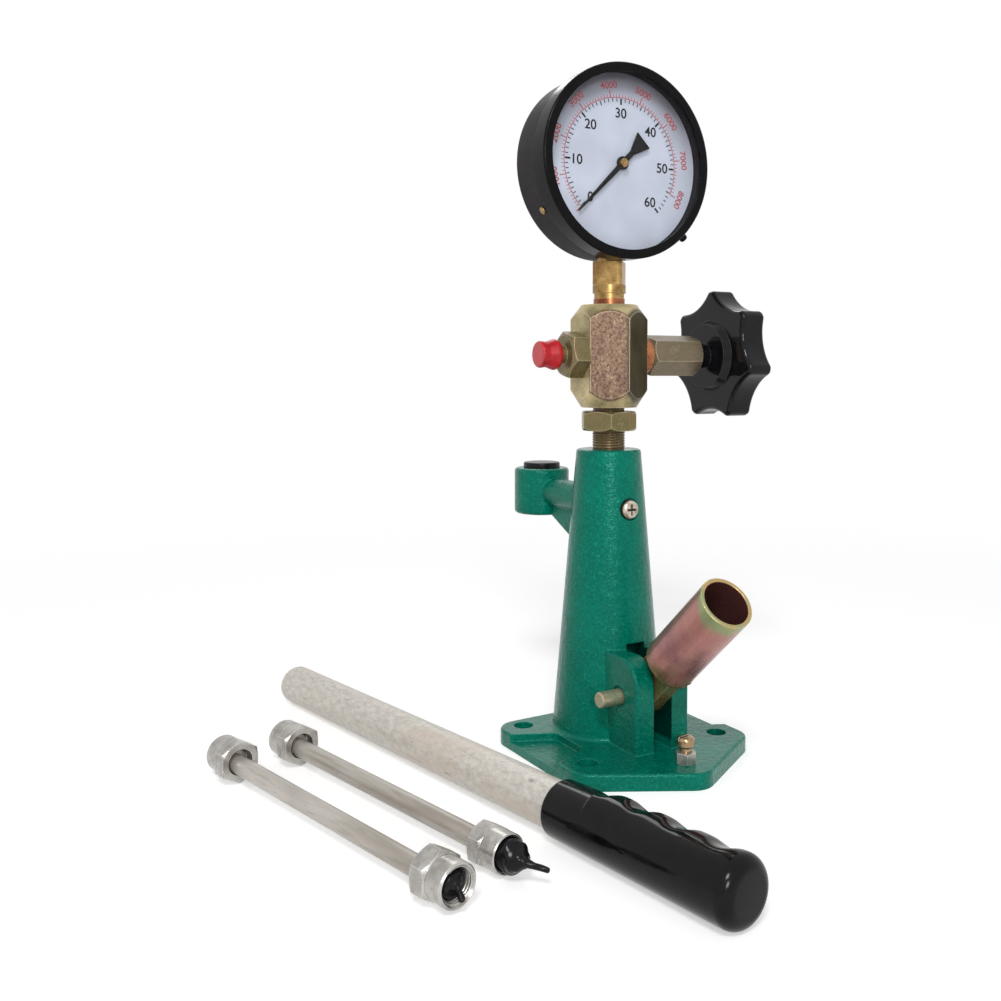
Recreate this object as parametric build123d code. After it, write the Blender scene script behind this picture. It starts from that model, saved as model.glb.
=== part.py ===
from build123d import *
from math import asin, atan2, cos, degrees, hypot, pi, radians, sin, sqrt, tan
import os

# A bench-top diesel injector tester: a cast stand with a hand lever that works an upright plunger
# pump, a hexagonal valve block with a shut-off handwheel, an outlet and a pressure gauge on top,
# and beside it the pull-off lever handle and two injector pipes.
# The frame: the origin is on the pump axis at the underside of the base, +Z is up, the lever and the
# dial face -Y, the handwheel points to +X and the outlet to -X. All lengths are in millimetres.

# Fits
fit = 0.05
lap = 0.03
slack = 0.3
overrun = 3.0

# Cast base plate
base_thickness = 8.5
base_floor = 4.5
base_half_width = 56.0
base_back = 32.0
base_side_front = 54.6
base_front_angle = 30.4
base_corner = 12.0
base_edge = 1.4
bolt_half_span = 42.3
bolt_back = 21.5
bolt_front = 43.6
bolt_hole_radius = 5.4
scallop_outer_half = 24.5
scallop_inner_half = 13.5
scallop_centre = 12.0
scallop_reach = 33.0
scallop_corner = 5.0

# Conical tower
tower_foot_radius = 31.0
tower_top_radius = 17.9
tower_top = 163.5
tower_foot_round = 2.5
tower_top_round = 1.8

# Clevis ears, their slot and the pivot pin
ear_half_width = 16.9
ear_front = 50.7
ear_top = 57.0
ear_round = 15.0
ear_edge = 1.2
slot_half_width = 5.7
slot_top = 60.0
pivot_front = 34.6
pivot_height = 35.7
pin_radius = 4.2
pin_near_reach = 29.6
pin_far_reach = 18.6
pin_chamfer = 0.6
pin_recess_radius = 5.6
pin_recess_depth = 1.2

# Oil cup ring on its arm behind the tower
cup_reach = 72.5
cup_radius = 16.7
cup_bore_radius = 9.6
cup_bore_depth = 20.0
cup_edge = 2.2
cup_half_height = 13.9
arm_height = 133.4
arm_radius = 8.6
cup_low = arm_height - cup_half_height
cup_high = arm_height + cup_half_height
rib_half_thickness = 3.6
rib_drop = 28.6
rib_low = arm_height - rib_drop
rib_reach = 54.2
rib_rise = 15.0
channel_radius = 2.0
channel_drop = 3.9
channel_height = arm_height - channel_drop
cup_plug_radius = 11.2
cup_plug_brim = 3.4
cup_plug_skirt = 12.0
cup_plug_wall = 2.2

# Lever: socket tube, tongue and inner arm
lever_rise = 42.7
lever_travel = 41.0
socket_start = 31.0
socket_end = 89.0
socket_radius = 14.0
socket_bore_radius = 11.8
socket_root_radius = 11.5
socket_mouth_chamfer = 0.4
tongue_half_thickness = 5.0
tongue_insert = 12.0
lever_boss_radius = 11.0
inner_arm_length = 35.7
inner_arm_droop = 20.5
inner_arm_root_radius = 6.0
inner_arm_tip_radius = 3.2
weld_bead_radius = 1.9
weld_half_width = 8.5
roller_radius = 6.0
roller_half_width = 2.4
roller_pin_radius = 1.6
roller_room = 0.8

# Tappet, spring and plunger on the pump axis
tappet_radius = 12.0
tappet_clearance = 0.06
tappet_height = 18.0
tappet_chamfer = 1.0
tappet_foot_radius = 5.0
tappet_foot_height = 4.0
tappet_pocket_depth = 3.0
spring_outer_radius = 9.2
spring_inner_radius = 6.8
ledge_low = 98.0
ledge_high = 104.0
ledge_hole_radius = 5.5
plunger_radius = 4.5
plunger_foot_depth = 8.0
plunger_rest_top = 127.0
plunger_chamfer = 0.5
barrel_radius = 8.4
barrel_top = 152.5
port_radius = 1.5
base_plug_radius = 15.0
base_plug_thickness = 3.0

# Delivery valve between the pump and the valve block
seat_radius = 8.3
seat_thickness = 3.0
seat_hole_radius = 2.0
seat_washer_thickness = 1.0
seat_washer_inner = 5.2
stud_radius = 8.75
stud_chamber_radius = 4.6
stud_chamber_top = 176.0
oilway_radius = 1.5
delivery_head_radius = 4.2
delivery_head_height = 6.0
delivery_stem_radius = 1.7
delivery_spring_outer = 4.1
delivery_spring_inner = 3.0

# Barrel locating screw on the front of the tower
locating_height = 131.7
locating_shank_radius = 3.0
locating_tip_radius = 2.0
locating_tip_length = 4.0
locating_head_radius = 5.3
locating_head_height = 3.6
locating_pit_radius = 6.1
locating_pit_depth = 1.6
cross_width = 1.3
cross_length = 6.0
cross_depth = 1.7

# Stop screw under the lever
stop_front = 69.8
stop_screw_radius = 3.0
stop_screw_low = 1.5
stop_head_low = 16.2
stop_head_radius = 4.6
stop_nut_flats = 9.6
stop_nut_height = 5.8
stop_nut_chamfer = 0.8
stop_slot_width = 1.2
stop_slot_depth = 1.4
stop_gap = 0.5

# Lock nut and hexagonal valve block; the head is screwed up a few degrees off the base
head_turn = -2.75
lock_nut_low = 173.8
lock_nut_high = 184.4
lock_nut_flats = 29.0
lock_nut_turn = 3.2
lock_nut_chamfer = 1.8
block_low = 186.6
block_high = 243.0
block_flats = 37.0
block_end_radius = 15.4
block_low_chamfer = 10.0
block_high_chamfer = 8.4
block_thread_depth = 14.0
valve_height = 215.5

# Outlet on -X, measured outwards from the pump axis
outlet_thread_radius = 6.0
outlet_thread_length = 9.0
outlet_hex_flats = 22.8
outlet_hex_length = 10.6
outlet_hex_turn = 15.0
outlet_hex_chamfer = 2.2
outlet_neck_radius = 5.0
outlet_neck_length = 3.4
outlet_nose_radius = 5.6
outlet_nose_length = 10.3
cap_start = 33.2
cap_length = 11.7
cap_rim_radius = 7.6
cap_bead_radius = 8.3
cap_bead_start = 1.6
cap_bead_length = 1.0
cap_waist_radius = 6.8
cap_waist_start = 6.8
cap_end_radius = 7.2
cap_end_start = 9.8
cap_end_wall = 1.6
cap_round = 1.5

# Handwheel valve on +X
needle_cone_radius = 2.4
needle_cone_length = 4.0
needle_tip_start = 2.1
needle_stem_length = 9.0
needle_tail_radius = 1.5
needle_tail_length = 4.0
needle_chamber_start = 4.4
needle_chamber_radius = 5.0
bonnet_thread_radius = 7.0
bonnet_thread_length = 8.0
bonnet_washer_thickness = 5.2
bonnet_washer_radius = 10.3
bonnet_hex_flats = 20.6
bonnet_hex_length = 34.6
bonnet_hex_turn = -13.0
bonnet_hex_chamfer = 2.6
packing_radius = 7.0
packing_start = 46.0
packing_ring_length = 3.0
packing_rings = 3
spindle_radius = 4.0
wheel_turn = 179.8
wheel_hub_radius = 7.0
wheel_hub_gap = 1.0
wheel_start = 65.1
wheel_boss_radius = 20.7
wheel_boss_length = 4.2
wheel_rim_length = 16.2
wheel_lobes = 7
wheel_lobe_radius = 38.0
wheel_valley_radius = 31.3
wheel_scallop_radius = 29.5
wheel_lobe_round = 3.35
wheel_edge = 2.4
wheel_dish_radius = 17.0
wheel_dish_depth = 7.0
wheel_nut_flats = 13.0
wheel_nut_height = 5.0
wheel_nut_chamfer = 0.8
spindle_square = 5.6
spindle_thread_radius = 2.5

# Gauge: depths are measured forwards from the pump axis, towards the eye
gauge_height = 318.7
shank_washer_radius = 8.7
shank_washer_thickness = 3.5
shank_thread_radius = 6.5
shank_thread_length = 12.0
shank_neck_radius = 8.3
shank_neck_length = 3.0
shank_collar_radius = 9.2
shank_collar_length = 4.4
shank_round_radius = 10.27
shank_flats = 16.4
shank_flats_turn = 49.0
shank_entry_radius = 6.8
socket_block_half = 6.5
socket_block_height = 15.0
socket_block_gap = 1.0
case_radius = 50.45
case_back = 15.6
case_front = 16.6
case_wall = 1.6
case_round = 3.0
case_screw_radius = 2.1
case_screw_angles = (212.4, 332.4, 92.4)
case_screw_depth = 2.1
bezel_wall = 1.55
bezel_radius = case_radius + bezel_wall
bezel_back = 8.6
bezel_front = 20.6
bezel_lap = 3.45
bezel_opening_radius = case_radius - bezel_lap
bezel_lip = 1.5
bezel_round = 1.2
glass_back = 16.9
glass_thickness = 2.0
glass_inset = 0.25
glass_radius = case_radius - glass_inset
dial_inset = 2.05
dial_radius = case_radius - dial_inset
dial_face = 11.4
dial_thickness = 0.8
nub_angle = -43.6
nub_depth = 14.0
nub_radius = 2.3
nub_reach = 4.2

# Gauge works
tube_inset = 16.45
tube_arc_radius = case_radius - tube_inset
tube_half_width = 5.0
tube_half_thickness = 2.2
tube_arc = 270.0
tube_depth = -6.0
tube_post_radius = 1.2
plate_half_width = 9.0
plate_top = 8.0
plate_bottom = 27.0
plate_thickness = 1.2
rear_plate_back = 0.5
pillar_radius = 1.6
pillar_inset = 3.2
gear_module = 0.4
pinion_teeth = 12
sector_ratio = 8
sector_teeth = 12
sector_hub_radius = 3.4
sector_web_half = 2.0
gear_thickness = 1.2
gear_back = 4.6
tooth_width_share = 0.33
gear_addendum_share = 0.7
gear_dedendum_share = 1.1
arbor_radius = 0.9
tail_radius = 8.0
tail_angle = 312.0
tail_half_width = 1.8
link_thickness = 0.9
link_half_width = 1.5
link_pin_radius = 0.7
pointer_back = 13.0
pointer_thickness = 0.8
pointer_zero_angle = 225.0
pointer_sweep = 270.0
pointer_length = 38.5
pointer_tip_half = 0.4
pointer_root_half = 1.5
pointer_ring_radius = 3.6
pointer_tail_start = 8.5
pointer_tail_end = 19.0
pointer_tail_half = 5.6
pointer_cap_radius = 2.3
pointer_cap_top = 15.6

# Pull-off handle, lying beside the stand
handle_far_x = -128.7
handle_far_y = 158.1
handle_heading = -80.95
handle_radius = 10.95
handle_wall = 2.2
handle_length = 357.0
handle_end_round = 4.0
grip_start = 254.4
grip_end_wall = 3.0
grip_swell_share = 0.9
grip_start_radius = 12.9
grip_end_radius = 14.5
grip_end_round = 6.0
finger_offset = 2.6
finger_start_radius = 12.7
finger_end_radius = 11.4
groove_first = 278.8
groove_pitch = 21.7
groove_count = 4
groove_floor = 12.4
groove_radius = 11.0
groove_lean = 25.0

# Injector pipes with their union nuts, lying beside the handle
pipe_radius = 4.55
pipe_bore_radius = 1.2
pipe_head_radius = 6.5
pipe_head_length = 6.4
pipe_nose_radius = 2.6
pipe_drop = 1.6
nut_flats = 19.0
nut_length = 19.0
nut_skirt_radius = 9.15
nut_chamber_radius = 8.4
small_nut_flats = 16.8
small_nut_length = 17.4
small_nut_skirt_radius = 8.6
small_nut_chamber_radius = 7.6
nut_hex_share = 0.48
nut_entry_radius = 6.45
nut_entry_length = 6.0
nut_chamber_end = 12.6
nut_thread_radius = 7.2
nut_chamfer = 1.3
nut_mouth_chamfer = 1.0
front_pipe_x = -160.5
front_pipe_y = -109.2
front_pipe_heading = 102.2
front_pipe_length = 155.1
rear_pipe_x = -129.8
rear_pipe_y = -95.9
rear_pipe_heading = 101.8
rear_pipe_length = 147.5
plug_radius = 6.9
plug_insert = 4.2
rear_plug_cone_length = 11.0
rear_plug_tip_radius = 3.4
rear_plug_tail_length = 9.0
plug_tail_radius = 1.3
rear_plug_tail_droop = 30.0
front_plug_tail_length = 9.0
front_plug_tail_droop = 35.0


def drum(radius, low, high):
    return Pos(0, 0, low) * Cylinder(radius, high - low, align=(Align.CENTER, Align.CENTER, Align.MIN))


def ring(outer, inner, low, high):
    return drum(outer, low, high) - drum(inner, low - overrun, high + overrun)


def block(x_half, y_low, y_high, z_low, z_high):
    size = (2 * x_half, y_high - y_low, z_high - z_low)
    return Pos(0, y_low, z_low) * Box(*size, align=(Align.CENTER, Align.MIN, Align.MIN))


def slab(outline, half):
    """A plate of an outline drawn in the YZ plane, half its width to each side."""
    return extrude(Plane.YZ * outline, half, both=True)


def turned(points):
    """A solid of revolution about Z from (radius, height) points."""
    return revolve(Plane.XZ * Polygon(*points, align=None), Axis.Z)


def hexagon(flats, low, high, turn):
    outline = Rot(0, 0, turn) * RegularPolygon(flats / 2, 6, major_radius=False)
    return Pos(0, 0, low) * extrude(outline, high - low)


def crowned(flats, low, high, turn, chamfers, end_radius):
    """A hexagonal bar whose ends are turned down to end_radius over the low and high chamfers."""
    low_chamfer, high_chamfer = chamfers
    corner = flats / 2 / cos(radians(30)) + slack
    low_radius = end_radius if low_chamfer else corner
    high_radius = end_radius if high_chamfer else corner
    profile = [(0, low), (low_radius, low)]
    if low_chamfer:
        profile.append((corner, low + low_chamfer))
    if high_chamfer:
        profile.append((corner, high - high_chamfer))
    profile += [(high_radius, high), (0, high)]
    return hexagon(flats, low, high, turn) & turned(profile)


def in_head(shape):
    """Place a piece of the head, which is turned about the pump axis."""
    return Rot(0, 0, head_turn) * shape


def towards_wheel(shape):
    """Lay a piece made along Z on the valve axis, pointing to the handwheel."""
    return in_head(Pos(0, 0, valve_height) * Rot(0, 90, 0) * shape)


def towards_outlet(shape):
    """Lay a piece made along Z on the valve axis, pointing to the outlet."""
    return in_head(Pos(0, 0, valve_height) * Rot(0, -90, 0) * shape)


def in_gauge(shape):
    """Stand a piece made face up in the dial's plane, with Z towards the eye."""
    return in_head(Pos(0, 0, gauge_height) * Rot(90, 0, 0) * shape)


def in_lever(shape):
    """Place a lever piece made at the pivot with Z along the socket, at the rest angle."""
    rise = radians(lever_rise)
    place = Plane(origin=(0, -pivot_front, pivot_height), x_dir=(1, 0, 0), z_dir=(0, -cos(rise), sin(rise)))
    return place.location * shape


# Stand

def tower_radius(height):
    share = (height - base_thickness) / (tower_top - base_thickness)
    return tower_foot_radius + (tower_top_radius - tower_foot_radius) * share


def base_plate():
    apex = base_side_front + base_half_width * tan(radians(base_front_angle))
    corners = [
        (base_half_width, base_back),
        (-base_half_width, base_back),
        (-base_half_width, -base_side_front),
        (0, -apex),
        (base_half_width, -base_side_front),
    ]
    outline = Polygon(*corners, align=None)
    outline = fillet(outline.vertices(), base_corner)
    plate = extrude(outline, base_thickness)
    plate = fillet(plate.edges().group_by(Axis.Z)[-1], base_edge)
    spread = (scallop_outer_half - scallop_inner_half) / (base_half_width - scallop_reach)
    outer = base_half_width + 2 * scallop_corner
    outer_half = scallop_outer_half + spread * (outer - base_half_width)
    for side in (-1, 1):
        scallop = Polygon(
            (side * outer, -scallop_centre - outer_half),
            (side * outer, -scallop_centre + outer_half),
            (side * scallop_reach, -scallop_centre + scallop_inner_half),
            (side * scallop_reach, -scallop_centre - scallop_inner_half),
            align=None,
        )
        scallop = fillet(scallop.vertices(), scallop_corner)
        plate -= Pos(0, 0, base_floor) * extrude(scallop, base_thickness, dir=(0, 0, 1))
    for x in (-bolt_half_span, bolt_half_span):
        for y in (bolt_back, -bolt_front):
            plate -= Pos(x, y, 0) * drum(bolt_hole_radius, -overrun, base_thickness + overrun)
    return plate


def tower_cone():
    """The tower's profile: a flared foot, a straight taper and a rounded top edge."""
    flare = tower_foot_round
    foot = tower_radius(base_thickness + flare)
    low = base_thickness
    bend = flare * (1 - cos(radians(45)))
    shoulder = tower_top - tower_top_round
    crown = tower_radius(shoulder)
    turn = tower_top_round * (1 - cos(radians(45)))
    brim = crown - tower_top_round
    rim = foot + flare
    side = Line((foot, low + flare), (crown, shoulder))
    top = ThreePointArc((crown, shoulder), (crown - turn, tower_top - turn), (brim, tower_top))
    inside = Polyline((brim, tower_top), (0, tower_top), (0, base_floor), (rim, base_floor), (rim, low))
    root = ThreePointArc((rim, low), (foot + bend, low + bend), (foot, low + flare))
    return revolve(Plane.XZ * make_face(Curve() + [side, top, inside, root]), Axis.Z)


def clevis_ears():
    corners = [(0, base_floor), (-ear_front, base_floor), (-ear_front, ear_top), (0, ear_top)]
    side = Polygon(*corners, align=None)
    front_top = side.vertices().group_by(Axis.X)[0].sort_by(Axis.Y)[-1]
    ears = slab(fillet(front_top, ear_round), ear_half_width)
    rims = ears.edges().group_by(Axis.X)[0] + ears.edges().group_by(Axis.X)[-1]
    rims = rims.filter_by(lambda edge: edge.center().Y < -ear_half_width)
    return fillet(rims.filter_by(lambda edge: edge.center().Z > base_thickness), ear_edge)


def cup_arm():
    cup = drum(cup_radius, cup_low, cup_high)
    cup = Pos(0, cup_reach, 0) * fillet(cup.edges(), cup_edge)
    arm = Pos(0, 0, arm_height) * Rot(-90, 0, 0) * drum(arm_radius, 0, cup_reach)
    wall = tower_radius(rib_low)
    knee = rib_low + rib_rise
    corners = [(0, rib_low), (wall, rib_low), (rib_reach, knee), (rib_reach, arm_height), (0, arm_height)]
    return cup + arm + slab(Polygon(*corners, align=None), rib_half_thickness)


def oil_cup():
    """The cup, its arm and its rib, up to the tower's wall."""
    cup = cup_arm() - tower_cone()
    cup -= Pos(0, cup_reach, 0) * drum(cup_bore_radius, cup_high - cup_bore_depth, cup_high + overrun)
    return cup - Pos(0, 0, channel_height) * Rot(-90, 0, 0) * drum(channel_radius, 0, cup_reach)


def stand_casting():
    body = base_plate() + tower_cone() + clevis_ears()
    body -= block(slot_half_width, -ear_front - overrun, 0, base_thickness, slot_top)
    body -= drum(base_plug_radius + fit, -overrun, base_plug_thickness)
    body -= drum(tappet_radius + tappet_clearance, 0, ledge_low)
    body -= drum(ledge_hole_radius, 0, ledge_high + overrun)
    body -= drum(barrel_radius + fit, ledge_high, barrel_top + fit)
    body -= drum(stud_radius + fit, barrel_top, tower_top + overrun)
    body -= Pos(0, 0, channel_height) * Rot(-90, 0, 0) * drum(channel_radius, 0, cup_reach)
    pivot = Pos(0, -pivot_front, pivot_height) * Rot(0, 90, 0)
    body -= pivot * drum(pin_radius + fit, -ear_half_width - overrun, ear_half_width + overrun)
    body -= pivot * drum(pin_recess_radius, -ear_half_width - overrun, -ear_half_width + pin_recess_depth)
    body -= Pos(0, -stop_front, 0) * drum(stop_screw_radius + fit, stop_screw_low, base_thickness + overrun)
    wall = tower_radius(locating_height)
    front = Pos(0, 0, locating_height) * Rot(90, 0, 0)
    body -= front * drum(locating_shank_radius + fit, 0, wall + overrun)
    body -= front * drum(locating_pit_radius, wall - locating_pit_depth, wall + overrun)
    return body


def base_plug():
    return drum(base_plug_radius, 0, base_plug_thickness)


def pivot_pin():
    pin = drum(pin_radius, -pin_near_reach, pin_far_reach)
    pin = chamfer(pin.edges(), pin_chamfer)
    return Pos(0, -pivot_front, pivot_height) * Rot(0, 90, 0) * pin


def slotted(shape, width, length, top, depth, crossed):
    """Cut a straight or a crossed driver slot into the top of a screw head."""
    cut = block(length / 2, -width / 2, width / 2, top - depth, top + overrun)
    if crossed:
        cut += Rot(0, 0, 90) * cut
    return shape - cut


stop_rise = radians(lever_rise - lever_travel)
stop_underside = pivot_height + (stop_front - pivot_front) * tan(stop_rise) - socket_radius / cos(stop_rise)
stop_head_top = stop_underside - stop_gap


def stop_screw():
    screw = drum(stop_screw_radius, stop_screw_low, stop_head_low + fit)
    head = drum(stop_head_radius, stop_head_low, stop_head_top)
    head = fillet(head.edges().group_by(Axis.Z)[-1], stop_head_radius / 2)
    head = chamfer(head.edges().group_by(Axis.Z)[0], stop_head_radius / 3)
    length = 3 * stop_head_radius
    screw = slotted(screw + head, stop_slot_width, length, stop_head_top, stop_slot_depth, False)
    return Pos(0, -stop_front, 0) * screw


def stop_nut():
    low = base_thickness
    high = base_thickness + stop_nut_height
    nut = crowned(stop_nut_flats, low, high, 0, (stop_nut_chamfer, stop_nut_chamfer), stop_nut_flats / 2)
    return Pos(0, -stop_front, 0) * (nut - drum(stop_screw_radius + fit, 0, high + overrun))


# Pump

roller_height = pivot_height - inner_arm_length * sin(radians(inner_arm_droop))
tappet_low = roller_height + roller_radius + slack
tappet_skirt_low = tappet_low + tappet_foot_height
tappet_top = tappet_skirt_low + tappet_height
pocket_floor = tappet_top - tappet_pocket_depth


def tappet():
    """A guided cup that carries the spring and the plunger, on a small foot over the roller."""
    cup = drum(tappet_radius, tappet_skirt_low, tappet_top)
    cup = chamfer(cup.edges(), tappet_chamfer)
    foot = drum(tappet_foot_radius, tappet_low, tappet_skirt_low + fit)
    cup += chamfer(foot.edges().group_by(Axis.Z)[0], tappet_chamfer / 2)
    cup -= drum(spring_outer_radius + slack, pocket_floor, tappet_top + overrun)
    return cup - drum(plunger_radius + fit, pocket_floor - plunger_foot_depth, tappet_top + overrun)


def return_spring():
    return ring(spring_outer_radius, spring_inner_radius, pocket_floor, ledge_low)


def plunger():
    rod = drum(plunger_radius, pocket_floor - plunger_foot_depth, plunger_rest_top)
    return chamfer(rod.edges(), plunger_chamfer)


def pump_barrel():
    barrel = drum(barrel_radius, ledge_high, barrel_top)
    barrel = barrel - drum(plunger_radius + lap, ledge_high - overrun, barrel_top + overrun)
    barrel -= Pos(0, 0, channel_height) * Rot(-90, 0, 0) * drum(port_radius, 0, barrel_radius + overrun)
    tip = Pos(0, 0, locating_height) * Rot(90, 0, 0)
    notch = (barrel_radius - plunger_radius) / 2
    return barrel - tip * drum(locating_tip_radius + fit, barrel_radius - notch, barrel_radius + overrun)


def locating_screw():
    notch = (barrel_radius - plunger_radius) / 2
    seat = tower_radius(locating_height) - locating_pit_depth
    tip_end = barrel_radius - notch + fit
    tip_root = tip_end + locating_tip_length
    screw = drum(locating_tip_radius, tip_end, tip_root + fit)
    screw += drum(locating_shank_radius, tip_root, seat + fit)
    head = drum(locating_head_radius, seat, seat + locating_head_height)
    head = fillet(head.edges().group_by(Axis.Z)[-1], locating_head_height * 2 / 3)
    screw = slotted(screw + head, cross_width, cross_length, seat + locating_head_height, cross_depth, True)
    return Pos(0, 0, locating_height) * Rot(90, 0, 0) * screw


def valve_seat():
    return ring(seat_radius, seat_hole_radius, barrel_top, barrel_top + seat_thickness)


def seat_washer():
    low = barrel_top + seat_thickness
    return ring(seat_radius, seat_washer_inner, low, low + seat_washer_thickness)


def valve_holder():
    low = barrel_top + seat_thickness + seat_washer_thickness
    high = block_low + block_thread_depth - fit
    stud = drum(stud_radius, low, high)
    stud = chamfer(stud.edges(), seat_washer_thickness)
    stud -= drum(stud_chamber_radius, low - overrun, stud_chamber_top)
    return stud - drum(oilway_radius, low, high + overrun)


def delivery_valve():
    low = barrel_top + seat_thickness + slack
    head = drum(delivery_head_radius, low, low + delivery_head_height)
    head = chamfer(head.edges().group_by(Axis.Z)[0], delivery_head_radius / 3)
    return head + drum(delivery_stem_radius, barrel_top + slack, low + fit)


def delivery_spring():
    low = barrel_top + seat_thickness + slack + delivery_head_height
    return ring(delivery_spring_outer, delivery_spring_inner, low, stud_chamber_top)


# Head

def lock_nut():
    chamfers = (lock_nut_chamfer, lock_nut_chamfer)
    nut = crowned(lock_nut_flats, lock_nut_low, lock_nut_high, lock_nut_turn, chamfers, lock_nut_flats / 2)
    return in_head(nut - drum(stud_radius + fit, 0, lock_nut_high + overrun))


def valve_block():
    chamfers = (block_low_chamfer, block_high_chamfer)
    bar = crowned(block_flats, block_low, block_high, 30, chamfers, block_end_radius)
    bar -= drum(stud_radius + fit, 0, block_low + block_thread_depth)
    bar -= drum(shank_thread_radius + fit, block_high - shank_thread_length - fit, block_high + overrun)
    bar -= drum(oilway_radius, block_low, valve_height)
    across = Pos(0, 0, valve_height) * Rot(0, 90, 0)
    face = block_flats / 2
    bar -= across * drum(oilway_radius, -face, face)
    bar -= across * drum(outlet_thread_radius + fit, -face - overrun, -face + outlet_thread_length + fit)
    bar -= across * drum(needle_chamber_radius, needle_chamber_start, face)
    bar -= across * drum(bonnet_thread_radius + fit, face - bonnet_thread_length - fit, face + overrun)
    riser = (needle_chamber_start + shank_thread_radius) / 2
    bar -= Pos(riser, 0, 0) * drum(oilway_radius / 2, valve_height, block_high - shank_thread_length)
    return in_head(bar)


outlet_face = block_flats / 2
outlet_neck_low = outlet_face + outlet_hex_length
outlet_nose_low = outlet_neck_low + outlet_neck_length
outlet_nose_high = outlet_nose_low + outlet_nose_length


def outlet_union():
    end_radius = (outlet_hex_flats - outlet_hex_chamfer) / 2
    chamfers = (0, outlet_hex_chamfer)
    union = crowned(outlet_hex_flats, outlet_face, outlet_neck_low, outlet_hex_turn, chamfers, end_radius)
    union += drum(outlet_thread_radius, outlet_face - outlet_thread_length, outlet_face + fit)
    union += drum(outlet_neck_radius, outlet_neck_low - fit, outlet_nose_low + fit)
    nose = drum(outlet_nose_radius, outlet_nose_low, outlet_nose_high)
    union += chamfer(nose.edges(), outlet_nose_radius - outlet_neck_radius)
    return towards_outlet(union - drum(oilway_radius, 0, outlet_nose_high + overrun))


def outlet_cap():
    """The rubber cap: a beaded rim at its open end, a waist and a rounded closed end."""
    high = cap_start + cap_length
    bead = cap_start + cap_bead_start
    cup = turned([
        (0, cap_start), (cap_rim_radius, cap_start), (cap_bead_radius, bead),
        (cap_bead_radius, bead + cap_bead_length), (cap_waist_radius, cap_start + cap_waist_start),
        (cap_end_radius, cap_start + cap_end_start), (cap_end_radius, high), (0, high)
    ])
    cup = fillet(cup.edges().group_by(Axis.Z)[-1], cap_round)
    cup -= drum(outlet_nose_radius + 2 * fit, cap_start - overrun, high - cap_end_wall)
    return towards_outlet(cup)


bonnet_hex_low = block_flats / 2 + bonnet_washer_thickness
bonnet_end = bonnet_hex_low + bonnet_hex_length
packing_end = packing_start + packing_rings * packing_ring_length


def bonnet_washer():
    face = block_flats / 2
    return towards_wheel(ring(bonnet_washer_radius, bonnet_thread_radius + fit, face, bonnet_hex_low))


def bonnet():
    thread_low = block_flats / 2 - bonnet_thread_length
    nut = drum(bonnet_thread_radius, thread_low, bonnet_hex_low + fit)
    end_radius = (bonnet_hex_flats - bonnet_hex_chamfer) / 2
    chamfers = (bonnet_hex_chamfer, bonnet_hex_chamfer)
    nut += crowned(bonnet_hex_flats, bonnet_hex_low, bonnet_end, bonnet_hex_turn, chamfers, end_radius)
    nut -= drum(spindle_radius + fit, 0, bonnet_end + overrun)
    return towards_wheel(nut - drum(packing_radius + fit, packing_start, packing_end))


def packing():
    rings = [
        ring(packing_radius, spindle_radius + fit, start + fit / 2, start + packing_ring_length - fit / 2)
        for start in (packing_start + number * packing_ring_length for number in range(packing_rings))
    ]
    return towards_wheel(Compound(rings))


needle_stem_low = needle_tip_start + needle_cone_length
spindle_low = needle_stem_low + needle_stem_length


def needle_tip():
    """The cone that shuts the valve, with a tail that lets the spindle turn in place behind it."""
    tip = turned([(0, needle_tip_start), (needle_cone_radius, needle_stem_low), (0, needle_stem_low)])
    shoulder = spindle_low - slack
    tip += drum(needle_cone_radius, needle_stem_low - fit, shoulder)
    return towards_wheel(tip + drum(needle_tail_radius, shoulder - fit, spindle_low + needle_tail_length))


wheel_back = wheel_start + wheel_boss_length
wheel_front = wheel_back + wheel_rim_length
wheel_dish = wheel_front - wheel_dish_depth


def spindle():
    rod = drum(spindle_radius, spindle_low, wheel_start)
    half = spindle_square / 2
    rod += block(half, -half, half, wheel_start, wheel_dish)
    rod += drum(spindle_thread_radius, wheel_dish - fit, wheel_dish + wheel_nut_height)
    bore = drum(needle_tail_radius + fit, spindle_low - overrun, spindle_low + needle_tail_length + slack)
    return towards_wheel(rod - bore)


def star_wheel():
    """Seven lobes with scallops between them, a boss at the back and a dish at the front."""
    pitch = 360 / wheel_lobes
    outline = Circle(wheel_lobe_radius)
    for lobe in range(wheel_lobes):
        reach = wheel_valley_radius + wheel_scallop_radius
        outline -= Rot(0, 0, pitch * (lobe + 1 / 2)) * Pos(reach, 0, 0) * Circle(wheel_scallop_radius)
    outline = fillet(outline.vertices(), wheel_lobe_round)
    rim = Pos(0, 0, wheel_back) * extrude(outline, wheel_rim_length)
    rim = fillet(rim.edges().group_by(Axis.Z)[0] + rim.edges().group_by(Axis.Z)[-1], wheel_edge)
    boss = turned([
        (0, wheel_start), (wheel_boss_radius - wheel_boss_length / 2, wheel_start),
        (wheel_boss_radius, wheel_back), (wheel_boss_radius, wheel_back + fit), (0, wheel_back + fit)
    ])
    rim -= drum(wheel_dish_radius, wheel_dish, wheel_front + overrun)
    hub = ring(wheel_hub_radius, spindle_radius + fit, bonnet_end + wheel_hub_gap, wheel_start + fit)
    half = spindle_square / 2 + fit
    hole = block(half, -half, half, wheel_start, wheel_front)
    hole += drum(spindle_radius + fit, bonnet_end, wheel_start)
    return towards_wheel(Rot(0, 0, wheel_turn) * (rim + boss + hub - hole))


def wheel_nut():
    high = wheel_dish + wheel_nut_height
    nut = crowned(wheel_nut_flats, wheel_dish, high, 0, (0, wheel_nut_chamfer), wheel_nut_flats / 2)
    return towards_wheel(nut - drum(spindle_thread_radius + fit, wheel_dish - overrun, high + overrun))


# Gauge

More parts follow.
